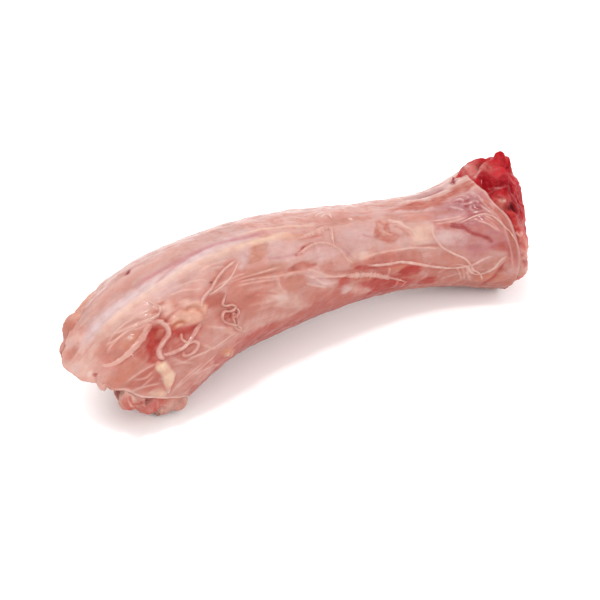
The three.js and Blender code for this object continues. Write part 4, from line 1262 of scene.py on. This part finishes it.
def dress_head(cut):
    """Pink muscle with a granular fringe at the top and a redder lip below."""
    for colour, strength, place, size in [
        (FRINGE_PINK, 0.9, (0.5, -30), (10, 8)),
        (ROSE, 0.5, (0.7, 70), (4, 3)),
        (ORANGE_FAT, 0.5, (0.7, -38), (3, 4)),
        (DEEP_SALMON, 0.6, (0.35, -14), (2.4, 1.6)),
        (PINK, 0.85, (0.5, 10), (6, 8)),
        (PALE_PINK, 0.85, (0.8, 34), (6, 7)),
        (DEEP_SALMON, 0.95, (0.5, 86), (5, 6)),
        (RED_MUSCLE, 0.45, (0.45, 84), (2.4, 3.4)),
        (WET_RED, 0.75, (0.55, 96), (3, 4)),
        (ORANGE_MUSCLE, 0.5, (0.6, 108), (3, 3.4)),
        (PALE_PINK, 0.7, (0.6, 114), (2.2, 2.0)),
        (PINK, 0.85, (0.6, 64), (3, 2.2)),
        (PINK, 0.8, (0.95, 92), (1.2, 6)),
        (PINK, 0.8, (0.4, 128), (3, 3)),
        (DEEP_SALMON, 0.7, (1.5, 100), (9, 7)),
        (PALE_PINK, 0.5, (1.8, 60), (5, 4)),
    ]:
        cut.patch(colour, strength, 0, place, size)
    lay_torn_muscle(cut, PINK, DEEP_SALMON, {"size": 3.2, "height": 0.25}, {"size": 0.8, "height": 0.16})
    # Painted light: the lip's left edge, its lower edge and a crease in it face away from the lamps or lie
    # in shade, so they are laid paler here.
    cut.patch(PAINTED_LIGHT_PINK, 0.95, 0, (0.9, 62), (5.0, 3.4))
    cut.patch(PAINTED_LIGHT_PINK, 0.7, 0, (1.1, 123), (3.0, 4.0))
    cut.patch(PINK, 0.5, 0, (0.2, 85), (1.6, 2.0))
    cut.patch(PAINTED_LIGHT_PINK, 0.6, 0, (0.9, 112), (2.4, 2.4))
    cut.strokes([
        (PALE_PINK, 0.65, 0.15, 0.3, [
            [(0.1, 60), (0.45, 68), (0.9, 74)],
            [(0.5, 76), (0.8, 86), (0.9, 98), (0.6, 110)],
            [(1.05, 60), (1.1, 85), (1.05, 112)],
            [(0.2, 116), (0.5, 122), (0.8, 130)],
            [(0.1, 70), (0.4, 78), (0.6, 90)],
            [(0.15, 92), (0.5, 98), (0.95, 102)],
        ]),
        (RED_MUSCLE, 0.65, 0.15, 0.3, [
            [(0.3, 66), (0.5, 74), (0.4, 84)],
            [(0.7, 62), (0.85, 90), (0.8, 108)],
        ]),
        (PINK, 0.65, 0.15, 0.3, [
            [(0.2, -36), (0.6, -34), (1.0, -30)],
            [(0.2, -20), (0.7, -20), (1.0, -18)],
            [(0.98, -44), (1.0, -30), (1.0, -10)],
        ]),
    ])
    lay_lobes(cut, [
        (0.9, (0.75, 70), (2.4, 2.4)),
        (-1.2, (1.35, 63), (2.2, 2.4)),
        (-0.8, (1.1, 129), (2.8, 3.0)),
        (-2.2, (1.15, 65), (2.0, 2.4)),
        (0.5, (0.8, 73), (1.6, 2.0)),
        (0.6, (0.9, 96), (2.6, 3.4)),
        (1.6, (0.3, 130), (2.6, 2.6)),
        (1.6, (0.6, -20), (4, 3.4)),
        (0.6, (0.6, -4), (3, 3)),
    ])


# The hollow between the muscles of the shoulder cut, with its half sizes and depth in mm. Its darkness is
# painted shade.
MUSCLE_HOLLOW = {"place": (1.05, 41), "size": (2.2, 2.0), "depth": 1.6}


def dress_shoulder(cut):
    """Crimson torn muscle above, paler pink muscle towards the front and below, where painted light also
    brightens the flesh that faces away from the lamps.
    """
    for colour, strength, place, size in [
        (BLOOD, 0.45, (0.5, 16), (3.4, 2.6)),
        (BLOOD, 0.6, (1.0, 14), (2.4, 3.4)),
        (BLOOD, 0.5, (0.12, -34), (1.4, 1.6)),
        # Painted light: the flesh below the shoulder cut faces right and down, away from the lamps, and is
        # laid brighter here.
        (PAINTED_LIGHT_SALMON, 0.95, (0.55, 92), (5, 15)),
        (CORAL_MUSCLE, 0.8, (0.5, 66), (3, 4)),
        (WET_RED, 0.6, (0.6, -4), (2.6, 2.0)),
        (WET_RED, 0.7, (0.85, 5), (2.4, 1.6)),
        (BLOOD, 0.8, (1.06, 21), (1.6, 3.0)),
        (BLOOD, 0.6, (0.35, -2), (1.4, 2.6)),
        (PINK, 0.75, (0.45, 18), (3.0, 0.6)),
        (WET_RED, 0.7, (0.9, 30), (2.0, 2.0)),
        (RED_MUSCLE, 0.8, (0.2, 30), (1.6, 3.0)),
        (PALE_PINK, 0.7, (0.3, 92), (2, 2.2)),
        (PINK, 0.7, (0.7, 104), (2.4, 3)),
        (SALMON, 0.8, (1.2, 95), (8, 8)),
        (SALMON, 0.8, (1.3, 150), (9, 12)),
        (SALMON, 0.7, (0.5, 180), (8, 20)),
        # Painted light: brighter pink over the same shaded flesh.
        (PAINTED_LIGHT_PINK, 0.8, (0.4, 99), (4.0, 5.0)),
        (PAINTED_LIGHT_PINK, 0.45, (0.4, 82), (2.6, 4.4)),
        (DULL_CRIMSON, 0.8, (0.6, 50), (4, 4.4)),
        (DEEP_SALMON, 0.85, (0.45, 35), (2.4, 2.0)),
        (DEEP_SALMON, 0.7, (1.2, 47), (1.4, 2.4)),
        (PINK, 0.7, (0.5, 33), (1.2, 0.7)),
        (BLOOD, 0.8, (1.2, 36), (2.6, 3)),
        (DEEP_SALMON, 0.8, (0.3, -20), (3.4, 4.0)),
        (PINK, 0.7, (0.12, -20), (2.6, 4.0)),
        (WHITE_FIBRE_AND_HIGHLIGHT, 0.6, (0.2, -8), (1.4, 0.8)),
        (WHITE_FIBRE_AND_HIGHLIGHT, 0.5, (0.12, -24), (0.8, 2.0)),
        (ORANGE_MUSCLE, 0.6, (1.15, 54), (1.0, 2.0)),
    ]:
        cut.patch(colour, strength, 0, place, size)
    lay_torn_muscle(cut, WET_RED, BLOOD, {"size": 4.0, "height": 0.55}, {"size": 0.9, "height": 0.16})
    cut.strokes([
        (ROSE, 0.6, 0.1, 0.3, [
            [(0.2, 12), (0.5, 16), (0.8, 22)],
            [(0.25, -24), (0.5, -18), (0.6, -8)],
            [(0.1, 100), (0.4, 96), (0.9, 98)],
        ]),
        (CORD_PALE, 0.8, 0.3, 0.5, [
            [(0.15, 62), (0.4, 65.5), (0.7, 65.5), (0.95, 62)],
            [(0.55, 33), (0.7, 34)],
        ]),
        (DEEP_SALMON, 0.7, -0.15, 0.3, [
            [(0.2, 72), (0.5, 76), (0.9, 74)],
            [(0.3, 88), (0.6, 92), (0.95, 90)],
            [(0.1, 56), (0.5, 58), (0.95, 57)],
        ]),
    ])
    lay_lobes(cut, [
        (1.4, (0.15, -31), (3.0, 3.4)),
        (-0.8, (0.48, -31), (1.6, 2.0)),
        (1.9, (0.785, -25.7), (1.6, 1.8)),
        (-2.8, (1.0, -16), (2.2, 3.2)),
        (0.9, (0.35, -40), (3, 3)),
        (1.5, (1.5, 10), (7, 8)),
        (0.8, (0.85, 99), (2.2, 5)),
        (-0.5, (0.15, 98), (1.6, 4)),
        (1.2, (0.92, -22.4), (1.3, 1.6)),
        (-1.3, (0.1, 13), (2.6, 3.4)),
    ])
    hollow = cut.mound(1.0, MUSCLE_HOLLOW["place"], MUSCLE_HOLLOW["size"])
    cut.height -= MUSCLE_HOLLOW["depth"] * hollow
    # Painted shade: the hollow is laid near black.
    cut.lay(HOLLOW_SHADE, 0.95, 0, smoothstep(0.05, 0.8, hollow))


def make_cut(name, end, ground, dress, material):
    """The flesh at one end, from under the membrane over its own edge to the middle of the face."""
    rows = np.concatenate([
        np.linspace(-1, 0, CUT_ROWS["under"], endpoint=False),
        np.linspace(0, 1, CUT_ROWS["beside"], endpoint=False),
        np.linspace(1, CUT_ROWS["last"], CUT_ROWS["face"]),
    ])[:, None]
    row, around = np.broadcast_arrays(rows, side_angles(CUT_SIDES)[None, :])
    cut = Cut(end, row, around, ground)
    dress(cut)
    grid = row.shape
    points = cut.points.reshape(*grid, 3)
    inside = centre(end["face"]["along"] + WELL_INSIDE * end["inward"])
    normals = grid_normals(points, inside)
    face_normal = unit(np.array(end["face"]["normal"]))
    normals = unit(normals + face_normal * smoothstep(*FACE_TURN, row)[..., None] * 3)
    points = points + normals * cut.height.reshape(grid)[..., None]
    all_points = np.vstack([points.reshape(-1, 3), points[-1].mean(0)])
    tip = len(all_points) - 1
    last_ring = tip - grid[1]
    faces = tube_faces(*grid)
    faces += [(last_ring + side, last_ring + (side + 1) % grid[1], tip) for side in range(grid[1])]
    tint = np.vstack([cut.tint, cut.tint[-1:]])
    return make_piece(name, all_points, faces, material, tint, 0.8, all_points)


# How far a cord's soft foot runs out onto the membrane, as a share of its radius, the places across
# it from -1 to 1 where it is drawn, how deep its foot lies and the share of it that tapers.
CORD_FOOT = 1.3
CORD_ACROSS = np.linspace(-1, 1, 15)
CORD_SUNK = 0.05
CORD_TAPER = 0.1


def cord_grid(cord):
    """Places over a cord's breadth, one row for each point of its route, with its rise above the
    membrane and its share of its own colour."""
    route = smooth_route(cord["route"], step=0.22)
    along, around = route.T
    share = np.linspace(0, 1, len(route))[:, None]
    ends = smoothstep(0, CORD_TAPER, share) * smoothstep(0, CORD_TAPER, 1 - share)
    thick = cord.get("thick", [1, 1])
    path = surface(along, around)
    length = np.cumsum(np.linalg.norm(np.diff(path, axis=0, prepend=path[:1]), axis=1))
    beads = cord.get("beads", 0.0) * np.sin(length * 4.4 + 12 * clouds(path * 0.8, 1))
    uneven = 0.2 * clouds(path * 1.1, 1) + beads
    radius = cord["radius"] * (1 + uneven[:, None]) * np.interp(share, np.linspace(0, 1, len(thick)), thick)
    radius = radius * (0.3 + 0.7 * ends)
    lift = cord.get("lift", [0, 0])
    lift = np.interp(share, np.linspace(0, 1, len(lift)), lift) * ends
    ahead, across = surface_steps(along, around)
    heading = unit(np.gradient(path, axis=0))
    beside = np.cross(outward_of(along, around), heading)
    ahead_step = (beside * ahead).sum(-1, keepdims=True) / (ahead * ahead).sum(-1, keepdims=True)
    around_step = (beside * across).sum(-1, keepdims=True) / (across * across).sum(-1, keepdims=True)
    reach = radius * CORD_FOOT * CORD_ACROSS
    bulge = (1 + np.cos(math.pi * CORD_ACROSS)) / 2
    rise = 1.25 * radius * cord["flat"] * bulge * ends + lift * np.sqrt(bulge) - CORD_SUNK
    shown = 0.8 + 0.35 * clouds(path * 0.45 + 3.0, 2)[:, None]
    own = smoothstep(1.0, 0.5, np.abs(CORD_ACROSS)) * np.clip(shown, 0.45, 1.0)
    own = own * smoothstep(0, CORD_TAPER * 1.4, share) * smoothstep(0, CORD_TAPER * 1.4, 1 - share)
    return along[:, None] + reach * ahead_step, around[:, None] + reach * around_step, rise, own


def make_cords(material):
    """Every cord as a strip that runs out softly into the membrane."""
    grids = [cord_grid(cord) for cord in CORDS]
    along = np.concatenate([grid[0].ravel() for grid in grids])
    around = np.concatenate([grid[1].ravel() for grid in grids])
    skin = dress_skin(Skin(along, around, ROSE))
    outward = outward_of(along, around)
    grain = straightened(along, around)
    start = 0
    for cord, (_, _, rise, own) in zip(CORDS, grids):
        part = slice(start, start + rise.size)
        start += rise.size
        height = skin.height[part] + rise.ravel()
        points = skin.points[part] + outward[part] * height[:, None]
        tint = skin.tint[part]
        tint = tint + (seen(cord["colour"]) - tint) * own.reshape(-1, 1)
        faces = strip_faces(*rise.shape)
        piece = make_piece("cord_" + cord["name"], points, faces, material, tint, 0.3, grain[part])
        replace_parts(piece, "neck")


# Rings and sides of the bone, how many mm from each face its straight rings stop, the places of the
# rings over a face from its edge inwards, and the depths in mm of those that line the canal.
BONE_RINGS = 60
BONE_SIDES = 48
BONE_REACH = 9.0
FACE_SHARES = [0.93, 0.84, 0.74, 0.64]
CANAL_DEPTHS = [0.0, 0.5, 1.2, 2.4, 4.0]


def bone_centre(along, rise=0.0):
    """The vertebrae's centre line runs in the neck's middle and rises towards the shoulder end."""
    lift = BONE_RISE["height"] * smoothstep(BONE_RISE["low"], BONE_RISE["high"], along) + rise
    return centre(along) + directions(along)[2] * np.asarray(lift)[..., None]


def bone_surface(along, around):
    angle = np.radians(around)[..., None]
    _, front, lift = directions(along)
    waist = BONE["waist"] * np.cos(2 * math.pi * along / BONE["vertebra"])
    radius = (BONE["radius"] + waist)[..., None]
    across = front * radius * BONE["wide"] * np.sin(angle)
    return bone_centre(along) + across + lift * radius * BONE["high"] * np.cos(angle)


def reach_face(points, end):
    """Points moved along the neck until they meet the cut bone's face."""
    face = end["face"]
    normal = unit(np.array(face["normal"]))
    forward = directions(np.array(face["along"]))[0]
    level = centre(face["along"]) + normal * (face["swell"] + BONE["proud"])
    distance = ((level - points) @ normal) / (forward @ normal)
    return points + forward * distance[..., None]


def bone_end(end, around):
    """Rings from the bone's cut edge over its face and down into the canal, with their painted shade,
    darker towards the canal and deeper in it.
    """
    at = np.full(len(around), float(end["face"]["along"]))
    edge = reach_face(bone_surface(at, around), end)
    middle = reach_face(bone_centre(np.array([at[0]]), CANAL["rise"]), end)[0]
    forward = directions(at[0])[0] * end["inward"]
    mouth = reach_face(middle + unit(edge - middle) * CANAL["radius"] * 1.25, end)
    rings, dark = [], []
    for share in FACE_SHARES:
        ring = mouth + (edge - mouth) * (share - FACE_SHARES[-1] + 0.04) / (1 - FACE_SHARES[-1])
        rings.append(ring - forward * 0.25 * clouds(ring * 1.1, 1)[:, None])
        dark.append(0.15 * (1 - share))
    for depth in CANAL_DEPTHS:
        rings.append(middle + (mouth - middle) * (1 - 0.06 * depth) + forward * depth)
        dark.append(min(1.0, 0.45 + depth * 0.5))
    return edge, rings, dark


def make_bone(material):
    """The vertebrae with a canal that opens at each cut face."""
    around = np.arange(BONE_SIDES) * 360 / BONE_SIDES
    head_edge, head_rings, head_dark = bone_end(HEAD_END, around)
    shoulder_edge, shoulder_rings, shoulder_dark = bone_end(SHOULDER_END, around)
    spans = np.linspace(HEAD_FACE["along"] + BONE_REACH, SHOULDER_FACE["along"] - BONE_REACH, BONE_RINGS)
    body = [bone_surface(np.full(BONE_SIDES, along), around) for along in spans]
    rings = head_rings[::-1] + [head_edge] + body + [shoulder_edge] + shoulder_rings
    dark = head_dark[::-1] + [0.1] * (len(body) + 2) + shoulder_dark
    points = np.concatenate(rings)
    shade = np.repeat(dark, BONE_SIDES)[:, None]
    # Painted shade: the rings darken towards the canal and the deeper they lie in it.
    tint = seen(ROSE) + (seen(CANAL_SHADE) - seen(ROSE)) * np.clip(shade, 0, 1)
    faces = tube_faces(len(rings), BONE_SIDES) + tube_ends(len(rings), BONE_SIDES)
    piece = make_piece("vertebrae", points, faces, material, tint, 0.2, points)
    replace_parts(piece, "bone")


class Value:
    """A number that changes over a surface. Arithmetic on it adds the Math nodes that do it."""

    def __init__(self, recipe, socket):
        self.recipe = recipe
        self.socket = socket

    def maths(self, operation, other, swapped=False):
        first, second = (other, self) if swapped else (self, other)
        return self.recipe.node("ShaderNodeMath", {"operation": operation}, {0: first, 1: second})

    def __add__(self, other):
        return self.maths("ADD", other)

    def __radd__(self, other):
        return self.maths("ADD", other, swapped=True)

    def __sub__(self, other):
        return self.maths("SUBTRACT", other)

    def __rsub__(self, other):
        return self.maths("SUBTRACT", other, swapped=True)

    def __mul__(self, other):
        return self.maths("MULTIPLY", other)

    def __rmul__(self, other):
        return self.maths("MULTIPLY", other, swapped=True)

    def between(self, low, high):
        """0 below low, 1 above high and smooth in between."""
        return self.recipe.node("ShaderNodeMapRange", {"interpolation_type": "SMOOTHSTEP"},
                                {"Value": self, "From Min": low, "From Max": high})


class Recipe:
    """One material and the nodes that make its finish."""

    def __init__(self, name):
        self.material = bpy.data.materials.new(name)
        self.material.use_nodes = True
        self.tree = self.material.node_tree
        self.tree.nodes.clear()

    def node(self, kind, settings=None, inputs=None, output=0):
        """A node with its settings made first, then its sockets' values or links."""
        made = self.tree.nodes.new(kind)
        for name, value in (settings or {}).items():
            setattr(made, name, value)
        for name, value in (inputs or {}).items():
            if isinstance(value, Value):
                self.tree.links.new(value.socket, made.inputs[name])
            else:
                made.inputs[name].default_value = value
        if not len(made.outputs):
            return None
        return Value(self, made.outputs[output])

    def attribute(self, name, output):
        return self.node("ShaderNodeAttribute", {"attribute_name": name}, output=output)

    def mix(self, first, second, amount):
        """Two colours mixed by an amount."""
        return self.node("ShaderNodeMix", {"data_type": "RGBA"}, {0: amount, 6: first, 7: second}, output=2)

    def scaled(self, vector, amount):
        return self.node("ShaderNodeVectorMath", {"operation": "SCALE"}, {0: vector, "Scale": amount})

    def stretched(self, vector, factors):
        return self.node("ShaderNodeVectorMath", {"operation": "MULTIPLY"}, {0: vector, 1: factors})

    def noise(self, place, scale, detail=2.0, roughness=0.5):
        return self.node("ShaderNodeTexNoise", inputs={"Vector": place, "Scale": scale, "Detail": detail,
                                                       "Roughness": roughness})

    def bump(self, height, distance, strength=1.0):
        return self.node("ShaderNodeBump",
                         inputs={"Height": height, "Distance": distance, "Strength": strength})

    def finish(self, colour, roughness, normal, **constants):
        """The surface from its varying colour, roughness and normal and its constant sockets."""
        inputs = {"Base Color": colour, "Roughness": roughness, "Normal": normal}
        inputs.update({name.replace("_", " "): value for name, value in constants.items()})
        shader = self.node("ShaderNodeBsdfPrincipled", inputs=inputs)
        self.node("ShaderNodeOutputMaterial", inputs={"Surface": shader})
        return self.material


def opaque(colour):
    """A palette colour as a colour socket's value."""
    return (*linear(seen(colour)), 1.0)


def membrane_finish():
    """Moist clear membrane over muscle: soft blotches, fine threads, a clear wet coat and faint pale
    streaks of painted sheen.
    """
    recipe = Recipe("moist_membrane")
    tint = recipe.attribute("tint", "Color")
    fibre = recipe.attribute("fibre", "Fac")
    grain = recipe.attribute("grain", "Vector")
    blotches = recipe.noise(grain, 0.35, 3.0)
    fine = recipe.noise(grain, 2.4, 3.0, 0.6)
    threads = recipe.noise(recipe.stretched(grain, (0.10, 1.0, 1.0)), 2.2, 3.0, 0.6)
    light = 1.0 + (blotches - 0.5) * 0.1 + (fine - 0.5) * 0.14 + (threads - 0.5) * (0.02 + fibre * 0.24)
    colour = recipe.scaled(tint, light)
    # Painted sheen: faint pale streaks mixed into the colour.
    painted_sheen = recipe.noise(recipe.stretched(grain, (0.25, 1.0, 1.0)), 0.8, 3.0, 0.6).between(0.52, 0.76)
    colour = recipe.mix(colour, opaque(PALE_PINK), painted_sheen * 0.06)
    roughness = 0.34 + (blotches - 0.5) * 0.2 + (fine - 0.5) * 0.14
    height = threads * (0.05 + fibre * 0.5) + fine * 0.3 + blotches * 1.2
    normal = recipe.bump(height, 0.00014, 0.8)
    return recipe.finish(colour, roughness, normal, Subsurface_Weight=0.3,
                         Subsurface_Radius=(1.0, 0.6, 0.5), Subsurface_Scale=0.0006, Coat_Weight=0.25,
                         Coat_Roughness=0.1, IOR=1.12)


def muscle_finish():
    """Raw cut muscle: wet, grainy and darker between its bundles."""
    recipe = Recipe("cut_muscle")
    tint = recipe.attribute("tint", "Color")
    grain = recipe.attribute("grain", "Vector")
    bundles = recipe.node("ShaderNodeTexVoronoi", {"feature": "F1"}, {"Vector": grain, "Scale": 1.5})
    fine = recipe.noise(grain, 3.2, 4.0, 0.65)
    blotches = recipe.noise(grain, 0.6, 3.0)
    light = 1.06 - bundles * 0.12 + (fine - 0.5) * 0.24 + (blotches - 0.5) * 0.22
    colour = recipe.scaled(tint, light)
    roughness = 0.28 + (fine - 0.5) * 0.3
    height = fine * 0.6 + (1.0 - bundles) * 0.4
    normal = recipe.bump(height, 0.00022, 0.9)
    return recipe.finish(colour, roughness, normal, Subsurface_Weight=0.3,
                         Subsurface_Radius=(1.0, 0.5, 0.4), Subsurface_Scale=0.0007, Coat_Weight=0.1,
                         Coat_Roughness=0.06, IOR=1.05)


def cord_finish():
    """Nerve, vessel and cord fat: pale, soft and wet, with faint bands across."""
    recipe = Recipe("pale_cord")
    tint = recipe.attribute("tint", "Color")
    grain = recipe.attribute("grain", "Vector")
    fine = recipe.noise(grain, 2.4, 3.0, 0.6)
    soft = recipe.noise(grain, 0.7, 2.0)
    colour = recipe.scaled(tint, 1.0 + (fine - 0.5) * 0.3 + (soft - 0.5) * 0.16)
    normal = recipe.bump(fine, 0.0001, 0.8)
    return recipe.finish(colour, 0.32 + (fine - 0.5) * 0.2, normal, Coat_Weight=0.35,
                         Coat_Roughness=0.12, IOR=1.25)


def bone_finish():
    """Cut bone and gristle: pale pink and porous."""
    recipe = Recipe("cut_bone")
    tint = recipe.attribute("tint", "Color")
    grain = recipe.attribute("grain", "Vector")
    pores = recipe.node("ShaderNodeTexVoronoi", {"feature": "F1"}, {"Vector": grain, "Scale": 2.4})
    fine = recipe.noise(grain, 2.0, 3.0, 0.6)
    colour = recipe.scaled(tint, 0.86 + pores * 0.35 + (fine - 0.5) * 0.2)
    normal = recipe.bump(pores * 0.6 + fine * 0.4, 0.0003, 1.0)
    return recipe.finish(colour, 0.4 + (fine - 0.5) * 0.2, normal, Subsurface_Weight=0.3,
                         Subsurface_Radius=(1.0, 0.4, 0.3), Subsurface_Scale=0.0015, Coat_Weight=0.35,
                         Coat_Roughness=0.2, IOR=1.4)


def floor_finish():
    """A pale matt table, hardly clouded."""
    recipe = Recipe("pale_table")
    place = recipe.node("ShaderNodeTexCoord", output="Object")
    cloud = recipe.noise(place, 6.0, 2.0)
    colour = recipe.mix((0.95, 0.945, 0.94, 1.0), (0.97, 0.97, 0.97, 1.0), cloud)
    return recipe.finish(colour, 0.6 + (cloud - 0.5) * 0.1, recipe.bump(cloud, 0.0001, 0.2))


CAMERA = {"azimuth": -29.5, "elevation": 35.0, "distance": 455.0, "target": (0.0, 0.0, 7.8), "lens": 110.0}
FLOOR_SIZE = 6.0


def make_camera():
    azimuth, elevation = math.radians(CAMERA["azimuth"]), math.radians(CAMERA["elevation"])
    back = Vector((math.sin(azimuth) * math.cos(elevation), -math.cos(azimuth) * math.cos(elevation),
                   math.sin(elevation)))
    data = bpy.data.cameras.new("camera")
    data.lens = CAMERA["lens"]
    data.clip_start = 0.01
    camera = bpy.data.objects.new("camera", data)
    target = Vector(np.array(CAMERA["target"]) - FOOTPRINT_MIDDLE) * MILLIMETRE
    camera.location = target + back * CAMERA["distance"] * MILLIMETRE
    camera.rotation_euler = back.to_track_quat("Z", "Y").to_euler()
    bpy.context.scene.collection.objects.link(camera)
    bpy.context.scene.camera = camera


def make_floor():
    half = FLOOR_SIZE / 2
    mesh = bpy.data.meshes.new("floor")
    corners = [(-half, -half, 0), (half, -half, 0), (half, half, 0), (-half, half, 0)]
    mesh.from_pydata(corners, [], [(0, 1, 2, 3)])
    mesh.materials.append(floor_finish())
    floor = bpy.data.objects.new("floor", mesh)
    bpy.context.scene.collection.objects.link(floor)


# Soft boxes: place and size in metres, and power in watts. Each faces the neck.
SOFT_BOXES = [
    {"name": "overhead", "place": (-0.30, 0.45, 1.45), "size": 1.3, "power": 13.0},
    {"name": "front", "place": (0.35, -1.30, 0.80), "size": 1.0, "power": 9.7},
    {"name": "glint", "place": (-0.30, -0.10, 1.20), "size": 0.16, "power": 4.0},
]
SURROUND = 1.22


def make_light(box):
    data = bpy.data.lights.new(box["name"], "AREA")
    data.size = box["size"]
    data.energy = box["power"]
    light = bpy.data.objects.new(box["name"], data)
    light.location = box["place"]
    light.rotation_euler = Vector(box["place"]).to_track_quat("Z", "Y").to_euler()
    bpy.context.scene.collection.objects.link(light)


def make_surround():
    world = bpy.data.worlds.new("studio")
    world.use_nodes = True
    background = world.node_tree.nodes["Background"]
    background.inputs["Color"].default_value = (1.0, 1.0, 1.0, 1.0)
    background.inputs["Strength"].default_value = SURROUND
    bpy.context.scene.world = world


make_camera()
make_floor()
make_surround()
for soft_box in SOFT_BOXES:
    make_light(soft_box)
bpy.context.scene.view_settings.view_transform = "Standard"

make_membrane(membrane_finish())
muscle = muscle_finish()
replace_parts(make_cut("head_cut", HEAD_END, SALMON, dress_head, muscle), "neck")
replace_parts(make_cut("shoulder_cut", SHOULDER_END, CRIMSON, dress_shoulder, muscle), "neck")
make_cords(cord_finish())
make_bone(bone_finish())
